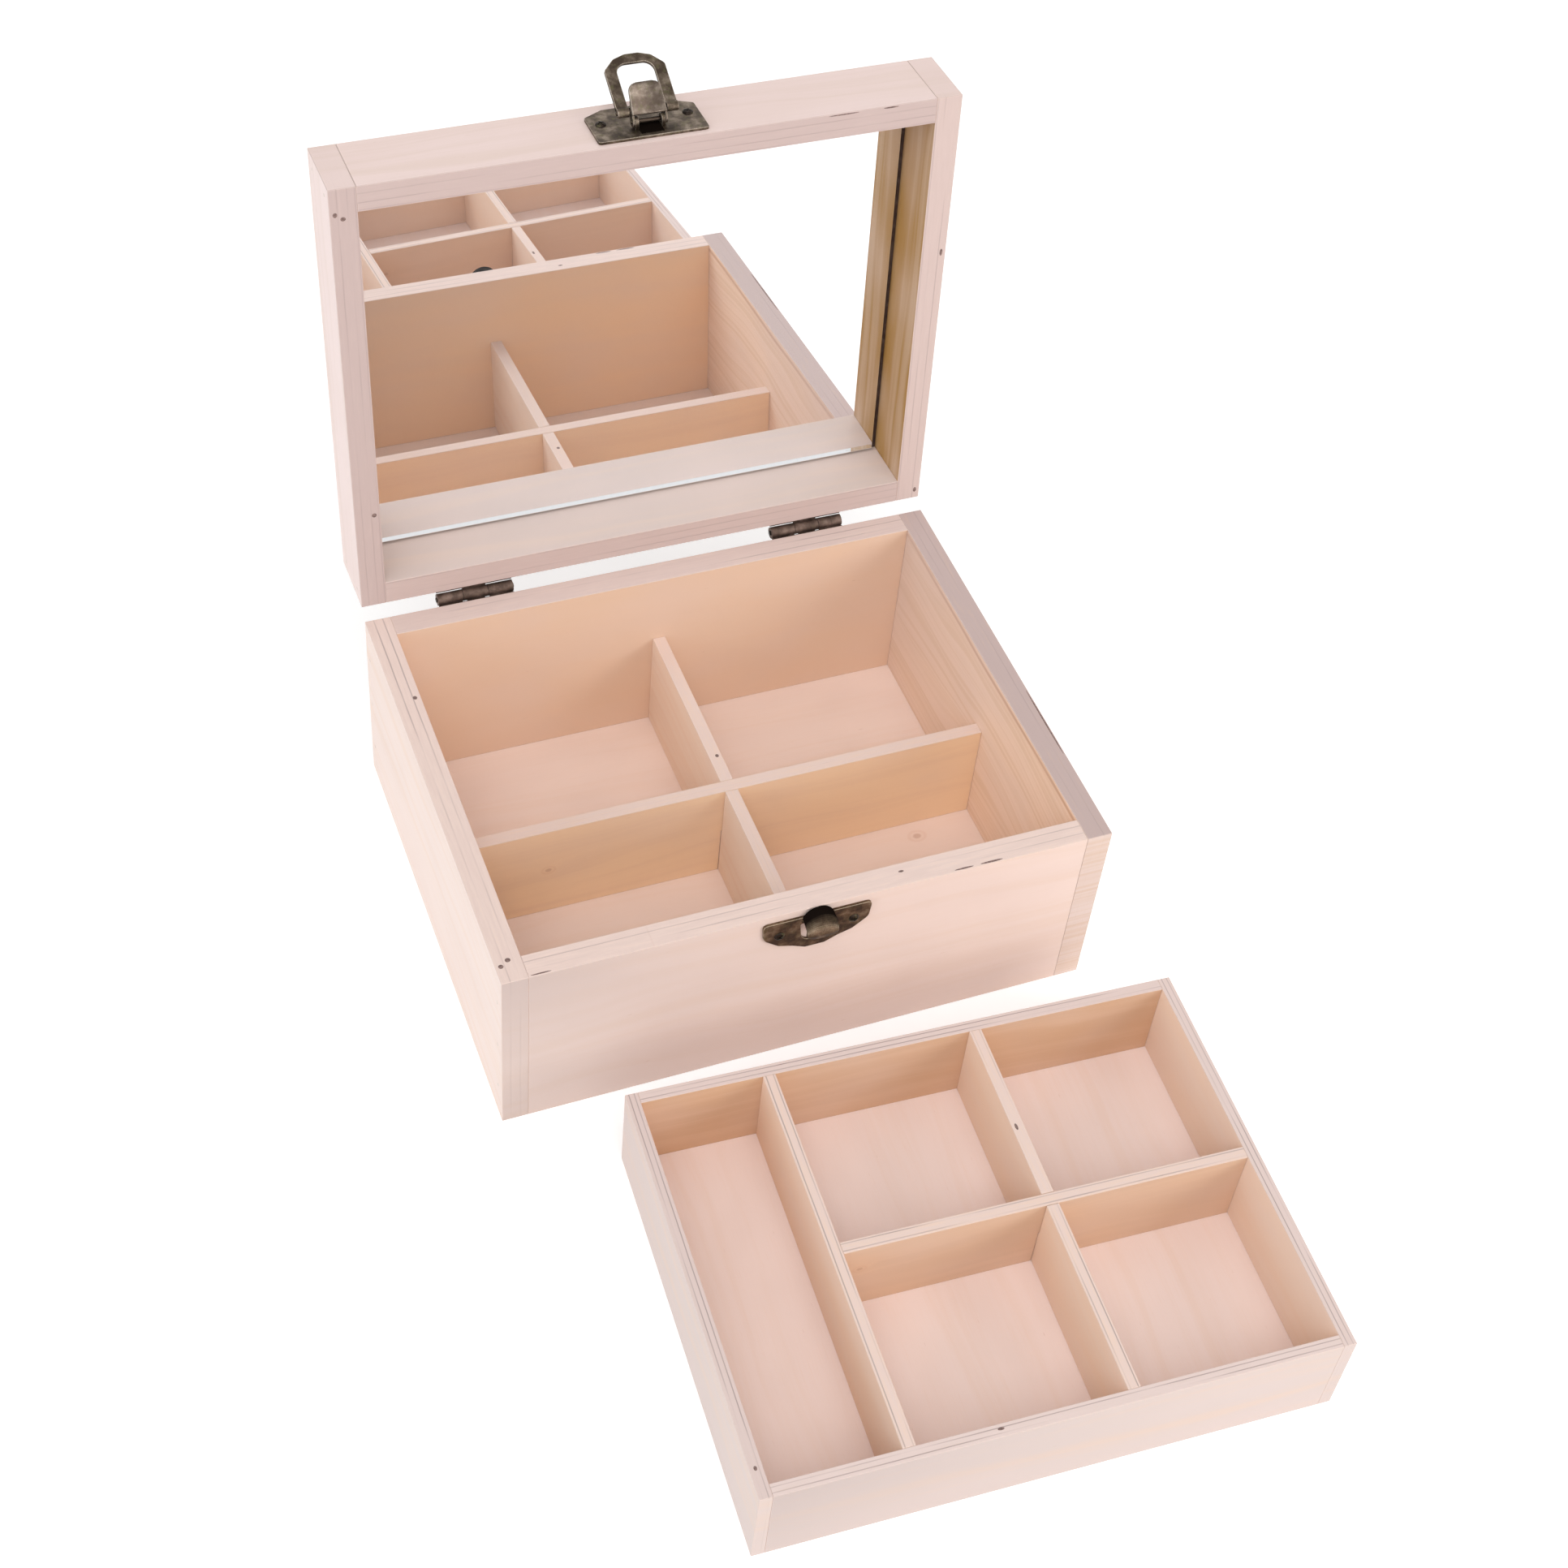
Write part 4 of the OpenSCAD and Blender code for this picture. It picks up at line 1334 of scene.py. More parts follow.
def strip(path: Sequence[tuple[Flat, Flat]], widths: Sequence[float], thick: float, arris: float) -> BMesh:
    """A bent strip of sheet, drawn in the side view: X across it, outward along -Y and up along +Z.

    Args:
        path: For each station its (outward, up) middle and its normal.
        widths: Half the width at each station.
        thick: The sheet's thickness.
        arris: The width of the rounding of its edges.

    Returns:
        The closed bmesh.
    """
    bm = new_bmesh()
    rings = []
    in_by = 1.0 - 2 * arris / thick
    for (middle, normal), half in zip(path, widths):
        flat = half - arris
        section = (
            (-flat, -1.0), (flat, -1.0), (half, -in_by), (half, in_by),
            (flat, 1.0), (-flat, 1.0), (-half, in_by), (-half, -in_by),
        )
        rings.append([
            bm.verts.new((x, -(middle[0] + normal[0] * n * thick / 2), middle[1] + normal[1] * n * thick / 2))
            for x, n in section
        ])
    worn = set()
    for number, face in tube(bm, rings):
        face.smooth = True
        if number not in (0, 4):
            worn.add(face)
    mark_sides(bm, lambda face: (0.0, 0.0, 1.0 if face in worn else 0.0))
    return bm


def domed_pin(radius: float, length: float, dome: float) -> BMesh:
    """A pin along X with slightly domed ends, turned from its profile.

    Args:
        radius: The pin's radius.
        length: Its length without the domes.
        dome: How far each end bulges.

    Returns:
        The closed bmesh.
    """
    bm = new_bmesh()
    profile = [(-length / 2 - dome, radius * 0.25), (-length / 2 - dome * 0.8, radius * 0.7), (-length / 2, radius)]
    profile += [(-x, r) for x, r in profile[::-1]]
    turns = [math.tau * k / 20 for k in range(20)]
    rings = [[bm.verts.new((x, r * math.cos(a), r * math.sin(a))) for a in turns] for x, r in profile]
    for _, face in tube(bm, rings):
        face.smooth = True
    mark_sides(bm, lambda face: (0.0, 0.0, 0.6))
    return bm


def joined(parts: Iterable[tuple[BMesh, Matrix]]) -> BMesh:
    """Several bmeshes as one.

    Args:
        parts: Each bmesh and its matrix.

    Returns:
        The joined bmesh.
    """
    whole = bmesh.new()
    for bm, place in parts:
        mesh = as_mesh(bm, place)
        whole.from_mesh(mesh)
        bpy.data.meshes.remove(mesh)
    return whole


# --- Geometry Nodes ---


@dataclass(frozen=True)
class Spot:
    """Where a fastener's head sits, in millimetres, the way it looks, its turn in degrees and how it is drawn out."""

    at: Point
    aim: Point
    spin: float = 0.0
    stretch: Point = (1.0, 1.0, 1.0)


class PointTree(Tree):
    """A Geometry Nodes tree that copies one shape onto the points of a cloud."""

    def __init__(self, name: str, sizes: dict[str, float]) -> None:
        """Makes the tree with a geometry input and named sizes with their defaults.

        Args:
            name: The tree's name.
            sizes: Defaults by name.
        """
        super().__init__(bpy.data.node_groups.new(name, "GeometryNodeTree"))
        sockets = self.tree.interface
        sockets.new_socket("Geometry", in_out="INPUT", socket_type="NodeSocketGeometry")
        for key, value in sizes.items():
            sockets.new_socket(key, in_out="INPUT", socket_type="NodeSocketFloat").default_value = value
        sockets.new_socket("Geometry", in_out="OUTPUT", socket_type="NodeSocketGeometry")
        self.given = self.node("NodeGroupInput").outputs

    def size(self, name: str) -> Value:
        """A named size."""
        return Value(self, self.given[name])

    def move(self, shape: Value, how: Inputs) -> Value:
        """A shape after its "Translation", "Rotation" or "Scale"."""
        return self.out("GeometryNodeTransform", {"Geometry": shape, **how})

    def finish(self, shape: Value, material: Material) -> "PointTree":
        """Ends the tree: one copy of the shape on each point, turned by "aim" and "spin", drawn out by "stretch".

        Args:
            shape: The shape to copy, with its axis along +Z.
            material: Its finish.

        Returns:
            This tree.
        """
        aim, spin, stretch = (
            self.out("GeometryNodeInputNamedAttribute", {"Name": name}, data_type=kind)
            for name, kind in (("aim", "FLOAT_VECTOR"), ("spin", "FLOAT"), ("stretch", "FLOAT_VECTOR"))
        )
        facing = self.out("FunctionNodeAlignRotationToVector", {"Vector": aim}, axis="Z")
        twist = self.out("FunctionNodeEulerToRotation", {0: self.join(0.0, 0.0, spin)})
        both = self.out("FunctionNodeRotateRotation", {0: facing, 1: twist}, rotation_space="LOCAL")
        copies = self.out(
            "GeometryNodeInstanceOnPoints",
            {"Points": self.given["Geometry"], "Instance": shape, "Rotation": both, "Scale": stretch},
        )
        real = self.out("GeometryNodeRealizeInstances", {"Geometry": copies})
        dressed = self.out("GeometryNodeSetMaterial", {"Geometry": real, "Material": material})
        self.node("NodeGroupOutput", {0: dressed})
        return self

    def mesh(self, spots: Sequence[Spot], place: Matrix, sizes: dict[str, float] | None = None) -> Mesh:
        """Runs the tree on points and takes the result as a plain mesh.

        Args:
            spots: The places of the fasteners.
            place: The matrix from that frame to the part's.
            sizes: Values of the tree's named inputs, where they aren't the defaults.

        Returns:
            The mesh, in metres in the part's frame.
        """
        cloud = bpy.data.meshes.new("work")
        cloud.from_pydata([Vector(spot.at) for spot in spots], [], [])
        for name, kind, field, values in (
            ("aim", "FLOAT_VECTOR", "vector", [number for spot in spots for number in spot.aim]),
            ("spin", "FLOAT", "value", [math.radians(spot.spin) for spot in spots]),
            ("stretch", "FLOAT_VECTOR", "vector", [number for spot in spots for number in spot.stretch]),
        ):
            cloud.attributes.new(name, kind, "POINT").data.foreach_set(field, values)
        holder = bpy.data.objects.new("work", cloud)
        bpy.context.scene.collection.objects.link(holder)
        modifier = holder.modifiers.new("fasteners", "NODES")
        modifier.node_group = self.tree
        named = {item.name: item.identifier for item in self.tree.interface.items_tree if item.in_out == "INPUT"}
        for key, value in (sizes or {}).items():
            modifier[named[key]] = value
        evaluated = holder.evaluated_get(bpy.context.evaluated_depsgraph_get())
        mesh = bpy.data.meshes.new_from_object(evaluated)
        holder.modifiers.remove(modifier)
        bpy.data.objects.remove(holder)
        bpy.data.meshes.remove(cloud)
        for name in ("aim", "spin", "stretch"):
            if name in mesh.attributes:
                mesh.attributes.remove(mesh.attributes[name])
        mesh.transform(place)
        mesh.update()
        return mesh


def screw_tree(material: Material) -> PointTree:
    """A pan-head screw: a domed head with a cross cut into it, and a tapered shank.

    Args:
        material: Its finish.

    Returns:
        The tree.
    """
    t = PointTree("pan_head_screws", {
        "Head Radius": 1.7, "Head Height": 0.7, "Shank Radius": 0.78, "Shank Length": 5.9, "Slot Width": 0.42,
    })
    radius, height = t.size("Head Radius"), t.size("Head Height")
    ball = t.out("GeometryNodeMeshUVSphere", {"Segments": 32, "Rings": 16, "Radius": radius})
    head = t.move(ball, {"Scale": t.join(1.0, 1.0, height / radius)})
    wide, long = radius * 3.0, radius * 1.35
    below = t.out("GeometryNodeMeshCube", {"Size": t.join(wide, wide, height)})
    cuts = [t.move(below, {"Translation": t.join(0.0, 0.0, height * -0.52)})]
    for turn in (0.0, math.pi / 2):
        slot = t.out("GeometryNodeMeshCube", {"Size": t.join(long, t.size("Slot Width"), height)})
        cuts.append(t.move(slot, {"Translation": t.join(0.0, 0.0, height * 1.05), "Rotation": (0, 0, turn)}))
    cut = t.node("GeometryNodeMeshBoolean", {"Mesh 1": head}, operation="DIFFERENCE")
    for shape in cuts:
        t.put(cut.inputs["Mesh 2"], shape)
    shank = t.out("GeometryNodeMeshCone", {
        "Vertices": 20, "Radius Top": 0.15, "Radius Bottom": t.size("Shank Radius"), "Depth": t.size("Shank Length"),
    })
    both = t.node("GeometryNodeJoinGeometry")
    for shape in (cut.outputs["Mesh"], t.move(shank, {"Rotation": (math.pi, 0, 0)})):
        t.put(both.inputs[0], shape)
    return t.finish(Value(t, both.outputs[0]), material)


def plug_tree(name: str, material: Material) -> PointTree:
    """A sunk wire pin with its spot of filler, or a pin knot: a flat plug that runs inward from the surface.

    Args:
        name: The tree's name.
        material: The plug's finish.

    Returns:
        The tree.
    """
    t = PointTree(name, {"Radius": 0.6, "Length": 20.0, "Proud": 0.015})
    length = t.size("Length")
    wire = t.out("GeometryNodeMeshCylinder", {"Vertices": 24, "Radius": t.size("Radius"), "Depth": length})
    level = length * -0.5 + t.size("Proud")
    return t.finish(t.move(wire, {"Translation": t.join(0.0, 0.0, level)}), material)


class Fasteners:
    """Screws, wire pins and pin knots, each with its own tree."""

    def __init__(self, finishes: Finishes) -> None:
        """Builds the trees.

        Args:
            finishes: The finishes that they set.
        """
        self.metal = finishes.dark_bronze
        self.screw = screw_tree(finishes.dark_bronze)
        self.brad = plug_tree("sunk_wire_pins", finishes.filler)
        self.flaw = plug_tree("pin_knots", finishes.flaw)

    def screws(self, name: str, spots: Sequence[Spot], place: Matrix, body: Body, node: str) -> None:
        """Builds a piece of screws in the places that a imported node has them."""
        finish_piece(name, self.screw.mesh(spots, place), self.metal, Slot.DARK_BRONZE, body, node)


# --- Sub-assemblies ---


@dataclass
class Woodwork:
    """Boards and their wire pins, shared by the base, the lid and the tray."""

    name: str
    body: Body
    place: Matrix
    finishes: Finishes
    fasteners: Fasteners

    def lay(self, board: Board, material: Material, slot: Slot) -> None:
        """Builds one board in its place, and says where it isn't where its node is.

        Args:
            board: The board.
            material: Its finish.
            slot: Its slot.
        """
        piece = finish_piece(board.name, board.mesh(self.place), material, slot, self.body, board.node)
        lows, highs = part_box(board.node)
        spans = list(zip(*piece.bound_box))
        off = max(max(abs(min(s) - low), abs(max(s) - high)) for s, low, high in zip(spans, lows, highs))
        if off > NODE_ROOM:
            log.warning("%s is %.2f mm off its node's box", board.name, off / MM)

    def walls(
        self, sizes: FrameSizes, height: float, foot: float, rebate: Cut, looks: Sequence[WallLook],
        finishes: Sequence[Material],
    ) -> None:
        """Builds four walls: the side walls run the full depth, the end walls stand between them.

        Args:
            sizes: The frame.
            height: The walls' height.
            foot: Height of their lower edge.
            rebate: The space that the frame's panel takes.
            looks: The looks of the front, back, left and right wall.
            finishes: Their finishes.
        """
        x, y, wall = sizes.width / 2, sizes.depth / 2, sizes.wall
        across, along = (Along.X, Along.Y), (Along.Y, Along.X)
        places = (
            ("front", (-x + wall, -y), (x - wall, -y + wall), across, -1),
            ("back", (-x + wall, y - wall), (x - wall, y), across, 1),
            ("left", (-x + FILLER_ROOM, -y), (-x + wall, y), along, -1),
            ("right", (x - wall, -y), (x - FILLER_ROOM, y), along, 1),
        )
        for (end, low, high, run, side), look, finish in zip(places, looks, finishes):
            board = Board(
                f"{self.name}_{end}_board", f"{self.name}_{end}_wall", (*low, foot), (*high, foot + height),
                *run, side, look.seed, (rebate,), look.tan, look.dusk, look.painted_shade, look.end_painted_shade,
                end_lines=0.12, arris=0.18,
            )
            self.lay(board, finish, Slot.WALL)

    def brads(self, sizes: FrameSizes, height: float, foot: float, count: int) -> None:
        """Builds the wire pins of both side walls.

        Args:
            sizes: The frame.
            height: The walls' height.
            foot: Height of their lower edge.
            count: How many pins stand above each other.
        """
        x, y, room = sizes.width / 2 - FILLER_ROOM, sizes.depth - sizes.wall, sizes.brad_margin
        spots = [
            Spot((side * x, end * y / 2, foot + height * (room + (1 - 2 * room) * i / (count - 1))), (side, 0, 0))
            for side, end, i in itertools.product((-1, 1), (-1, 1), range(count))
        ]
        pins = self.fasteners.brad.mesh(
            spots, self.place, {"Radius": sizes.brad_radius, "Length": sizes.brad_length}
        )
        finish_piece(
            f"{self.name}_wire_pins", pins, self.finishes.filler, Slot.PIN, self.body, f"{self.name}_corner_pins"
        )

    def flaws(self, spots: Sequence[tuple[Point, Flat]], way: float) -> None:
        """Builds the small dark flaws of the rims: pin knots, and slivers where a layer's edge broke out.

        Args:
            spots: The place of each, and half its size in X and Y.
            way: 1 where the rims look up and -1 where they look down.
        """
        mesh = self.fasteners.flaw.mesh(
            [Spot(at, (0, 0, way), stretch=(*half, 1.0)) for at, half in spots], self.place,
            {"Radius": 1.0, "Length": 1.2},
        )
        finish_piece(f"{self.name}_rim_flaws", mesh, self.finishes.flaw, Slot.WALL, self.body)


@dataclass
class Base(Woodwork):
    """The base: four walls round a rebated bottom panel, and two halved dividers."""

    box: BoxSizes

    def dividers(self) -> None:
        """The two dividers, halved over each other."""
        b = self.box
        x, y, half = b.inner_width / 2, b.inner_depth / 2, b.divider / 2
        long_cut, cross_cut = b.lap_cuts(b.divider_x, b.divider_y, b.bottom, b.divider_top)
        long = Board(
            "base_long_divider_board", "base_long_divider",
            (b.divider_x - half, -y, b.bottom), (b.divider_x + half, y, b.divider_top),
            Along.Y, Along.X, 0, 5.0, (long_cut,), tan=0.0,
        )
        cross = Board(
            "base_cross_divider_board", "base_cross_divider",
            (-x, b.divider_y - half, b.bottom), (x, b.divider_y + half, b.divider_top),
            Along.X, Along.Y, 0, 6.0, (cross_cut,), tan=1.0, knot=Knot(29.5, 20.8, 1.8),
        )
        for board in (long, cross):
            self.lay(board, self.finishes.divider, Slot.INSIDE)

    def build(self) -> None:
        """Builds the base's boards, pins and flaws."""
        b, made = self.box, self.finishes
        # A look's last numbers are painted shade: the front wall darker towards its left end, the left wall towards
        # its front and on its front end face, the right wall towards its back
        looks = (
            WallLook(1.0, 0.0, 0.0, (0.9, 0.0)), WallLook(2.0, 0.1, 0.35),
            WallLook(3.0, 0.1, 0.0, (0.25, 0.0), 0.95), WallLook(4.0, 0.0, 0.85, (0.0, 0.85)),
        )
        space = b.panel_space(-PAST, b.bottom)
        self.walls(b, b.height, 0.0, space, looks, (made.front_wall, made.wall, made.wall, made.right_wall))
        bottom = Board(
            "base_bottom_board", "base_bottom_panel", *b.panel_space(0.0, b.bottom), Along.X, Along.Z, 0, 7.0,
            tan=0.0, knot=Knot(165.4, 63.8, 2.4), arris=0.1,
        )
        self.lay(bottom, made.panel, Slot.PANEL)
        self.dividers()
        self.brads(b, b.height, 0.0, 3)
        rim = b.height
        self.flaws((
            ((-98.2, -72.2, rim), (0.8, 0.75)), ((-95.6, -70.4, rim), (0.85, 0.8)), ((-93.4, 40.4, rim), (0.7, 0.8)),
            ((-87.6, -77.9, rim), (3.2, 0.25)), ((29.6, -73.2, rim), (0.9, 0.4)), ((49.0, -77.8, rim), (3.2, 0.3)),
            ((58.4, -77.8, rim), (3.8, 0.35)), ((99.4, -28.0, rim), (0.25, 15.0)),
            ((b.divider_x + 0.6, 11.8, b.divider_top), (0.6, 0.7)),
        ), 1)


@dataclass
class Lid(Woodwork):
    """The lid: a low frame with a rebated top panel, and the mirror taped inside it."""

    box: BoxSizes

    def mirror(self) -> None:
        """The mirror: its silver lies in the glass's depth, on a coat of dark backing paint, whose edge past the
        glass at the right and back is painted shade in the gaps to the walls.

        The glass's edge stands as a bright lip round the silver, so the mirror shows what its real glass shows: the
        reflection moved back by the glass's depth, and a light line along its lower edge.
        """
        b = self.box
        x, y = b.inner_width / 2 - b.mirror_gap, b.inner_depth / 2 - b.mirror_gap
        back = b.mirror_face + b.mirror
        paint = back - b.backing_and_gap_shade
        right, rear = x - b.glass_gap_right, y - b.glass_gap_back
        hollow = (
            (-x + b.glass_lip, -y + b.glass_lip, b.mirror_face - PAST),
            (right + PAST, rear - b.glass_lip, b.mirror_face + b.silver_depth),
        )
        slab = Board(
            "mirror_slab", "mirror_glass", (-x, -y, b.mirror_face + b.lip_set), (right, rear, paint),
            Along.X, Along.Z, 1, 0.0, (hollow,),
        )
        bm = slab.solid()
        round_arrises(bm, b.glass_arris, 1)

        def side(face: BMFace) -> Point:
            """The ground rim is the faces on the outline.

            Args:
                face: A face.

            Returns:
                Its shares.
            """
            at = face.calc_center_median()
            reach = min(at.x + x, right - at.x, at.y + y, rear - at.y)
            return 0.0, 1.0 if reach < b.glass_lip / 3 else 0.0, 0.0

        mark_sides(bm, side)
        glass = as_mesh(bm, self.place)
        finish_piece(slab.name, glass, self.finishes.mirror, Slot.MIRROR, Body.LID, slab.node)
        # Painted shade: the dark coat runs past the glass at the right and back, darkening the gaps to the walls
        coat = Board(
            "mirror_backing", "mirror_glass", (-x, -y, paint), (x + b.gap_shade_edge, y + b.gap_shade_edge, back),
            Along.X, Along.Z, 1, 0.0, arris=b.backing_arris,
        )
        finish_piece(coat.name, coat.mesh(self.place), self.finishes.backing_and_gap_shade, Slot.MIRROR, Body.LID, coat.node)

    def build(self) -> None:
        """Builds the lid's boards, its mirror, its pins and flaws."""
        b, rim = self.box, self.box.lid_rim
        top = rim + b.lid_height
        looks = (
            WallLook(11.0, 0.3, 0.7), WallLook(12.0, 0.0, 0.6),
            WallLook(13.0, 0.3, 0.75), WallLook(14.0, 1.0, 0.45),
        )
        space = b.panel_space(top - b.panel, top + PAST)
        self.walls(b, b.lid_height, rim, space, looks, (self.finishes.lid_wall,) * 4)
        panel = Board(
            "lid_top_board", "lid_top_panel", *b.panel_space(top - b.panel, top), Along.X, Along.Z, 1, 15.0,
            arris=0.1,
        )
        self.lay(panel, self.finishes.panel, Slot.PANEL)
        self.mirror()
        dress_node("mirror_tape", self.finishes.tape, Slot.TAPE)
        self.brads(b, b.lid_height, rim, 2)
        self.flaws((
            ((-98.3, -70.0, rim), (0.7, 0.8)), ((-96.0, -68.4, rim), (0.8, 0.7)), ((-93.5, 41.4, rim), (0.8, 0.8)),
            ((98.3, 75.0, rim), (0.6, 1.0)), ((98.4, -22.0, rim), (0.5, 1.3)), ((60.3, -77.9, rim), (5.0, 0.2)),
            ((76.0, -77.9, rim), (2.5, 0.25)),
        ), -1)


@dataclass
class Tray(Woodwork):
    """The lift-out tray: thin walls round a floor, and three dividers."""

    tray: TraySizes

    def dividers(self) -> None:
        """The left divider, and the right one halved with the cross divider."""
        t = self.tray
        x, y, half = t.inner_width / 2, t.inner_depth / 2, t.divider / 2
        right_cut, cross_cut = t.lap_cuts(t.right_x, t.cross_y, t.floor, t.height)
        boards = [
            Board(
                f"tray_{name}_divider_board", f"tray_{name}_divider",
                (at - half, -y, t.floor), (at + half, y, t.height), Along.Y, Along.X, 0, seed, cuts,
            )
            for name, at, seed, cuts in (("left", t.left_x, 21.0, ()), ("right", t.right_x, 22.0, (right_cut,)))
        ]
        boards.append(Board(
            "tray_cross_divider_board", "tray_cross_divider",
            (t.left_x + half, t.cross_y - half, t.floor), (x, t.cross_y + half, t.height),
            Along.X, Along.Y, 0, 23.0, (cross_cut,), tan=0.5, knot=Knot(6.0, 20.0, 1.6),
        ))
        for board in boards:
            self.lay(board, self.finishes.tray_divider, Slot.INSIDE)

    def build(self) -> None:
        """Builds the tray's boards, pins and flaws."""
        t = self.tray
        # The front wall's look ends in painted shade, darker towards its left end
        looks = (
            WallLook(24.0, 0.1, 0.0, (0.9, 0.0)), WallLook(25.0, 0.75, 0.1),
            WallLook(26.0, 0.1, 0.2), WallLook(27.0, 0.0, 0.1),
        )
        self.walls(t, t.height, 0.0, t.panel_space(-PAST, t.floor), looks, (self.finishes.tray_wall,) * 4)
        floor = Board(
            "tray_floor_board", "tray_floor", *t.panel_space(0.0, t.floor), Along.Y, Along.Z, 0, 28.0,
            tan=0.06, arris=0.1,
        )
        self.lay(floor, self.finishes.tray_floor, Slot.PANEL)
        self.dividers()
        self.brads(t, t.height, 0.0, 2)
        self.flaws((
            ((-88.2, -58.7, t.height), (0.5, 0.7)), ((t.right_x - 0.6, 26.9, t.height), (0.45, 1.2)),
            ((-19.1, -65.6, t.height), (1.0, 0.45)),
        ), 1)


@dataclass
class Hinges:
    """The two butt hinges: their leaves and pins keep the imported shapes, their screws are new."""

    places: Places
    finishes: Finishes
    fasteners: Fasteners
    sizes: HingeSizes

    def build(self) -> None:
        """Dresses the leaves and pins, and builds the screws."""
        for side in ("left", "right"):
            for part in ("base_leaf", "lid_leaf"):
                dress_node(f"{side}_hinge_{part}", self.finishes.hinge, Slot.BRONZE)
            dress_node(f"{side}_hinge_pin", self.finishes.dark_bronze, Slot.DARK_BRONZE)
        box, h = self.places.box, self.sizes
        middles = (
            -box.width / 2 + h.inset_left + h.leaf_length / 2, box.width / 2 - h.inset_right - h.leaf_length / 2
        )
        for name, way, place, body in (
            ("base", -1, self.places.base, Body.BOX), ("lid", 1, self.places.lid, Body.LID)
        ):
            y, z = box.depth / 2 + h.leaf_thick, box.hinge_height + way * h.screw_height
            xs = [x + side * h.pitch / 2 for x in middles for side in (-1, 1)]
            spots = [Spot((x, y, z), (0, 1, 0), spin) for x, spin in zip(xs, (12, 58, 33, 76))]
            self.fasteners.screws(f"hinge_{name}_screw_heads", spots, place, body, f"hinge_{name}_screws")


@dataclass
class Latch:
    """The toggle latch: plate with ears, lever, ring and their pins on the lid, and the hooked catch on the base."""

    places: Places
    finishes: Finishes
    fasteners: Fasteners

    @property
    def sizes(self) -> LatchSizes:
        """The latch's sizes."""
        return self.places.latch

    def screw_spots(self, x: float, up: float, spins: Flat) -> list[Spot]:
        """Two screws on a plate, one at each side of its middle.

        Args:
            x: How far they are from the middle.
            up: Their height.
            spins: The turns of their heads in degrees.

        Returns:
            Their spots.
        """
        out = -self.sizes.plate_thick
        return [Spot((side * x, out, up), (0, -1, 0), spin) for side, spin in zip((-1, 1), spins)]

    def rivet(self, name: str, length: float, place: Matrix, body: Body, node: str) -> None:
        """Builds a pin that stands a little out of what it holds."""
        pin = as_mesh(domed_pin(self.sizes.pin_radius, length + 0.2, self.sizes.rivet_head), place)
        finish_piece(name, pin, self.finishes.dark_bronze, Slot.DARK_BRONZE, body, node)

    def plate(self) -> None:
        """The plate on the lid, with its two ears, a near-black sheet of painted shadow between them, its screws and
        the lever's pin.
        """
        z, place = self.sizes, self.places.lid_front
        half, foot, top = z.plate_width / 2, z.plate_lift, z.plate_lift + z.plate_height
        corners = [
            (-half, foot), (half, foot), (half, top - z.plate_cut), (half - 2 * z.plate_cut, top),
            (-half + 2 * z.plate_cut, top), (-half, top - z.plate_cut),
        ]
        outline = smooth_corners(corners, z.plate_round)
        parts = [(pressing(outline, [], z.plate_thick, z.arris), moved(0, -z.plate_thick / 2, 0) @ FRONT_VIEW)]
        pin = (z.lever_pin_out, z.pin_up)
        profile = arc(pin, z.boss, -90, 90, 14)
        profile += [(z.plate_thick / 2, z.pin_up + z.boss), (z.plate_thick / 2, z.pin_up - z.boss)]
        for side in (-1, 1):
            ear = pressing(profile, [arc(pin, z.bore, *ROUND)], z.ear, z.arris)
            parts.append((ear, moved(side * (z.ear_outer - z.ear / 2), 0, 0) @ SIDE_VIEW))
        # Painted shadow under the lever: a thin sheet between the ears, marked to take the coat's matte near-black
        inner = z.ear_outer - z.ear
        low, high = z.shadow_sheet_foot, z.shadow_sheet_top
        patch = [(-inner, low), (inner, low), (inner, high), (-inner, high)]
        shadow_sheet = pressing(patch, [], z.shadow_sheet_thick, z.shadow_sheet_arris)
        mark_sides(shadow_sheet, lambda face: (1.0, 0.0, 0.0))
        parts.append((shadow_sheet, moved(0, -z.plate_thick - z.shadow_sheet_out, 0) @ FRONT_VIEW))
        mesh = as_mesh(joined(parts), place)
        finish_piece("latch_plate_pressing", mesh, self.finishes.bronze, Slot.BRONZE, Body.LID, "latch_plate")
        spots = self.screw_spots(half - z.plate_screw_in, z.plate_lift + z.plate_screw_up, (20, 64))
        self.fasteners.screws("latch_plate_screw_heads", spots, place, Body.LID, "latch_plate_screws")
        self.rivet("lever_rivet", z.blade_width, place @ moved(0, -z.lever_pin_out, z.pin_up), Body.LID, "lever_pin")

    def blade_line(self, count: int) -> list[tuple[Flat, Flat]]:
        """The blade's middle line from the side: leaning back from its root, its tip curling outward.

        Args:
            count: Its stations less one.

        Returns:
            For each station the (outward, up) point and the outward normal.
        """
        z = self.sizes
        out, up = z.pin_radius + z.blade_gap + z.lever_thick / 2, z.boss + z.blade_root
        step = z.blade_length / count
        line = []
        for i in range(count + 1):
            share = max(0.0, i / count - z.curl_start) / (1 - z.curl_start)
            angle = math.radians(-z.blade_lean + z.blade_curl * share ** 1.5)
            line.append(((out, up), (math.cos(angle), -math.sin(angle))))
            out, up = out + step * math.sin(angle), up + step * math.cos(angle)
        return line

    def lever_cheek(self) -> BMesh:
        """A cheek of the lever with its two bores, drawn from the side.

        Returns:
            The closed bmesh.
        """
        z = self.sizes
        line = self.blade_line(20)
        outline = arc((0, 0), z.boss, 180, 350, 14)
        outline += [line[station][0] for station in (0, 5, 9)]
        outline += arc(z.ring_pin, z.pin_radius + z.cheek_wrap, 75, 180, 9)
        bores = [arc(pin, z.bore, *ROUND) for pin in ((0, 0), z.ring_pin)]
        return pressing(outline, bores, z.cheek_sheet, z.cheek_arris)

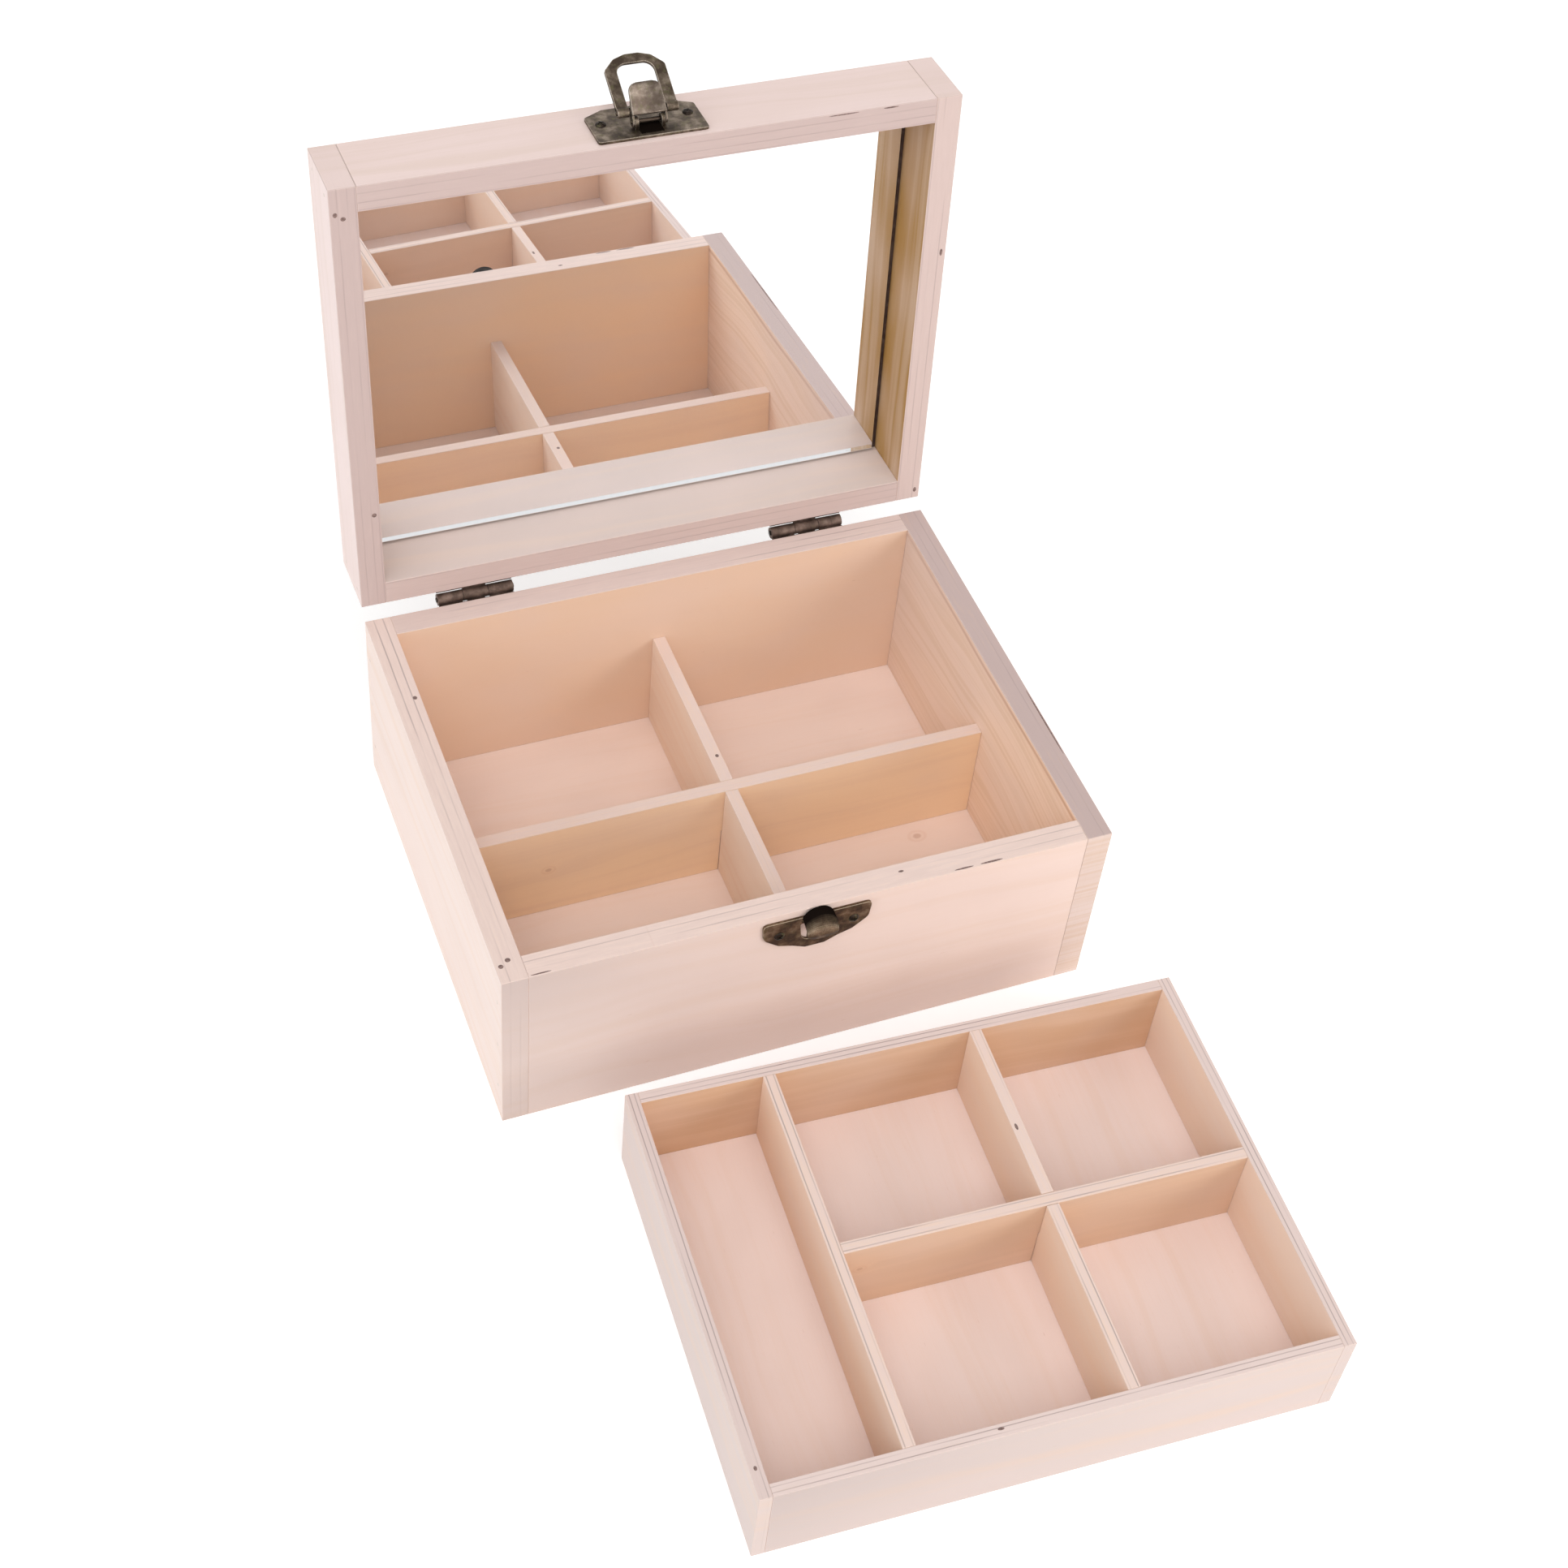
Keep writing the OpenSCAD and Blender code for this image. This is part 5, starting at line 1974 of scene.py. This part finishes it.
    def lever_blade(self) -> BMesh:
        """The lever's blade, tapered to a rounded tip.

        Returns:
            The closed bmesh.
        """
        z = self.sizes
        count = 26
        widths = []
        for i in range(count + 1):
            into = max(0.0, z.tip_radius - z.blade_length * (1 - i / count))
            rounded = z.tip_radius - math.sqrt(max(0.0, z.tip_radius ** 2 - into ** 2))
            widths.append(z.blade_width / 2 - z.blade_taper * i / count - rounded)
        return strip(self.blade_line(count), widths, z.lever_thick, z.blade_arris)

    def lever(self) -> None:
        """The lever: blade and two cheeks, and the ring's pin in them."""
        z, place = self.sizes, self.places.lever
        parts = [(self.lever_blade(), Matrix.Identity(4))]
        for side in (-1, 1):
            at = moved(side * (z.blade_width - z.cheek_sheet) / 2, 0, 0)
            parts.append((self.lever_cheek(), at @ SIDE_VIEW))
        mesh = as_mesh(joined(parts), place)
        finish_piece("lever_tongue", mesh, self.finishes.lever, Slot.BRONZE, Body.LEVER, "latch_lever")
        out, up = z.ring_pin
        self.rivet("ring_rivet", z.loop_width, place @ moved(0, -out, up), Body.LEVER, "ring_pin")

    def ring(self) -> None:
        """The ring: a flat loop with cut outer corners and a round inner bow, and its two eyes."""
        z = self.sizes
        half, hole, far, bow = z.loop_width / 2, z.loop_width / 2 - z.loop_leg, -z.ring_length, z.loop_bow
        right = [
            (half, 0.0), (half, far + z.loop_shoulder), (half - z.loop_cut, far + z.loop_cut_up), (z.loop_tip, far)
        ]
        radii = z.loop_round
        outline = smooth_corners(
            [right[0], *((-x, y) for x, y in right), *right[:0:-1]], (0.0, *radii, *radii[:0:-1])
        )
        inner = arc((-hole + bow, far + z.loop_bar + bow), bow, 180, 270, 10)
        inner += arc((hole - bow, far + z.loop_bar + bow), bow, 270, 360, 10)
        loop = [outline[0], (hole, 0.0), *inner[::-1], (-hole, 0.0), *outline[1:]]
        parts = [(pressing(loop, [], z.ring_thick, z.loop_arris), FRONT_VIEW)]
        for side in (-1, 1):
            eye = pressing(
                arc((0, 0), z.pin_radius + z.eye_wall, *ROUND), [arc((0, 0), z.bore, *ROUND)], z.loop_leg, z.arris
            )
            parts.append((eye, moved(side * (half - z.loop_leg / 2), 0, 0) @ SIDE_VIEW))
        mesh = as_mesh(joined(parts), self.places.ring)
        finish_piece("ring_loop", mesh, self.finishes.bronze, Slot.BRONZE, Body.RING, "latch_ring")

    def hook_section(self, x: float) -> list[Flat]:
        """The hook's section at a place across it: its back, its lip, and the pocket under it.

        Args:
            x: The place, from the middle.

        Returns:
            The outline, as (outward, up).
        """
        z = self.sizes
        face = z.plate_thick - z.hook_foot
        share = abs(2 * x / z.dome_width)
        rise = z.dome_rise * math.sqrt(1 - z.dome_round * share ** 2)
        arch = z.hook_arch * share ** 2
        foot = z.hook_up - (z.lip_drop - z.lip_fade * share ** 3)
        shrink = z.end_shrink * share ** 4
        depth = z.pocket_depth
        reach = depth + z.hook_thick
        back = [
            (face + (reach - shrink) * math.sin(math.radians(a)), z.hook_up + rise * math.cos(math.radians(a)))
            for a in range(z.hook_step, 91, z.hook_step)
        ]
        pocket = [
            (face + depth / 2 + (depth / 2 - shrink) * math.cos(math.radians(a)),
             z.hook_up + arch + z.hook_inner * math.sin(math.radians(a)))
            for a in range(0, 181, 20)
        ]
        return [
            (face, z.hook_up + rise), *back, (face + reach - shrink, foot), (face + depth - shrink, foot), *pocket
        ]

    def hook(self) -> BMesh:
        """The catch's hook: a domed lip above the plate, with an arched pocket open below and at its sides.

        Returns:
            The closed bmesh.
        """
        z, count = self.sizes, 16
        bm = new_bmesh()
        rings = []
        for i in range(count + 1):
            x = z.dome_width / 2 * math.sin(math.radians(90 * (2 * i / count - 1)))
            rings.append([bm.verts.new((x, -out, up)) for out, up in self.hook_section(x)])
        # Near-black where the back meets the plate, which is dark oxide and painted shade, and painted shade in the
        # pocket; the round of the lip brighter, as wear and as a painted highlight
        shades: dict[BMFace, Point] = {}
        for k, wall in tube(bm, rings):
            wall.smooth = k not in (z.lip_side, len(rings[0]) - 1)
            painted_shade_and_oxide = min(1.0, max(0.0, (z.hook_dark_start - z.hook_step * k) / z.hook_fade)) if k < z.lip_side else 0.9
            shades[wall] = (painted_shade_and_oxide, 0.0, max(0.0, 0.8 - abs(k - z.wear_and_highlight_side) * 0.25))
        mark_sides(bm, lambda face: shades.get(face, (0.0, 0.0, 0.0)))
        return bm

    def catch(self) -> None:
        """The catch on the base: a bowed plate with a window under its hook, and its screws."""
        z, place = self.sizes, self.places.base_front
        half, top, tall = z.catch_width / 2, z.catch_top, z.catch_tall
        right = [
            (half, top - 0.3), (half - 0.6, top - tall * 0.48), (half * 0.68, top - tall * 0.76),
            (half * 0.42, top - tall * 0.86), (half * 0.18, top - tall),
        ]
        radii = z.catch_round
        outline = smooth_corners(right + [(-x, y) for x, y in right[::-1]], radii + radii[::-1])
        wide, high = z.window_half, z.hook_up + z.window_up
        low = high - z.window_tall
        narrow = wide - z.window_taper
        window = smooth_corners([(wide, high), (-wide, high), (-narrow, low), (narrow, low)], z.window_round)
        plate = pressing(outline, [window], z.plate_thick, z.arris)
        parts = [(plate, moved(0, -z.plate_thick / 2, 0) @ FRONT_VIEW), (self.hook(), Matrix.Identity(4))]
        mesh = as_mesh(joined(parts), place)
        finish_piece("catch_pressing", mesh, self.finishes.catch, Slot.BRONZE, Body.BOX, "catch_plate")
        spots = self.screw_spots(half - z.catch_screw_in, top - z.catch_screw_drop, (40, 8))
        self.fasteners.screws("catch_screw_heads", spots, place, Body.BOX, "catch_plate_screws")

    def build(self) -> None:
        """Builds the whole latch."""
        self.plate()
        self.lever()
        self.ring()
        self.catch()


# --- Stage ---


@dataclass(frozen=True)
class Lamp:
    """A square softbox: its place and side in metres, its power in watts and its colour."""

    name: str
    at: Point
    size: float
    power: float
    tint: Colour = WHITE

    def build(self, towards: Point) -> None:
        """Hangs the lamp so that it looks at a point.

        Args:
            towards: The point.
        """
        data = bpy.data.lights.new(self.name, "AREA")
        data.size = self.size
        data.energy = self.power
        data.color = self.tint
        holder = bpy.data.objects.new(self.name, data)
        holder.location = self.at
        holder.rotation_euler = (Vector(towards) - Vector(self.at)).to_track_quat("-Z", "Y").to_euler()
        bpy.context.scene.collection.objects.link(holder)


@dataclass(frozen=True)
class Studio:
    """The floor, the world, the lamps and the camera."""

    floor_size: float = 12.0
    floor_tone: float = 0.92
    floor_lift: float = 0.26
    sky: float = 0.53
    sky_tint: Colour = (1.0, 0.985, 0.975)
    camera_at: Point = (-0.22686, -0.51720, 0.67194)
    camera_turn: Point = (41.82, -4.41, -20.74)
    lens: float = 58.674
    middle: Point = (0.0, -0.05, 0.05)
    lamps: tuple[Lamp, ...] = (
        Lamp("overhead_softbox", (-0.6, -1.5, 2.8), 2.2, 38.5),
        Lamp("left_softbox", (-2.6, -0.6, 0.9), 1.6, 28.5, (0.8, 0.92, 1.0)),
        Lamp("right_softbox", (1.05, -1.45, 0.65), 0.9, 11.0),
        Lamp("rear_softbox", (0.5, 2.2, 1.6), 1.4, 6.0),
    )

    def camera(self) -> None:
        """The camera at the photograph's viewing angle, for a square picture of 1932 pixels."""
        data = bpy.data.cameras.new("camera")
        data.sensor_width = 36.0
        data.lens = self.lens
        data.clip_start = 0.05
        data.clip_end = 50.0
        holder = bpy.data.objects.new("camera", data)
        holder.location = self.camera_at
        holder.rotation_euler = [math.radians(angle) for angle in self.camera_turn]
        bpy.context.scene.collection.objects.link(holder)
        bpy.context.scene.camera = holder

    def floor(self) -> None:
        """A plain pale floor that looks white to the camera and in mirrors, and keeps the part's shadow."""
        s = Shade("pale_floor")
        s.finished({"Base Color": (self.floor_tone,) * 3, "Roughness": 0.9, "Specular IOR Level": 0.1})
        glow = s.out("ShaderNodeEmission", {"Color": WHITE, "Strength": s.seen() * self.floor_lift})
        both = s.out("ShaderNodeAddShader", {0: s.skin.outputs[0], 1: glow})
        s.put(s.output.inputs["Surface"], both)
        half = self.floor_size / 2
        mesh = bpy.data.meshes.new("floor")
        mesh.from_pydata([(-half, -half, 0), (half, -half, 0), (half, half, 0), (-half, half, 0)], [], [(0, 1, 2, 3)])
        mesh.materials.append(s.material)
        floor = bpy.data.objects.new("floor", mesh)
        bpy.context.scene.collection.objects.link(floor)
        floor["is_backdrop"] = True

    def world(self) -> None:
        """A white surround for the camera and mirrors, and a soft even light for the rest."""
        world = bpy.data.worlds.new("surround")
        world.use_nodes = True
        bpy.context.scene.world = world
        t = Tree(world.node_tree)
        soft = t.out("ShaderNodeBackground", {"Color": self.sky_tint, "Strength": self.sky})
        white = t.out("ShaderNodeBackground", {"Strength": 1.0})
        both = t.out("ShaderNodeMixShader", {0: t.seen(), 1: soft, 2: white})
        t.node("ShaderNodeOutputWorld", {"Surface": both})

    def build(self) -> None:
        """Builds the stage."""
        self.camera()
        self.floor()
        self.world()
        for lamp in self.lamps:
            lamp.build(self.middle)
        bpy.context.scene.view_settings.view_transform = "Standard"


def write_sizes() -> None:
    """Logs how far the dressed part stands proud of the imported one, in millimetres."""
    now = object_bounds()
    grown = max(max(CAD_BOX[0][a] - now[0][a], now[1][a] - CAD_BOX[1][a]) for a in range(3))
    log.info("the dressed part stands %.3f mm proud of the packed one", grown / MM)


def main() -> None:
    """Builds every sub-assembly in order and the stage round them."""
    logging.basicConfig(level=logging.INFO, format="%(name)s: %(message)s")
    box, tray = BoxSizes(), TraySizes()
    places = Places(box, tray, LatchSizes())
    finishes = Finishes.build()
    fasteners = Fasteners(finishes)
    Studio().build()
    Base("base", Body.BOX, places.base, finishes, fasteners, box).build()
    Lid("lid", Body.LID, places.lid, finishes, fasteners, box).build()
    Tray("tray", Body.TRAY, places.tray_frame, finishes, fasteners, tray).build()
    Hinges(places, finishes, fasteners, HingeSizes()).build()
    Latch(places, finishes, fasteners).build()
    write_sizes()


if __name__ == "__main__":
    main()
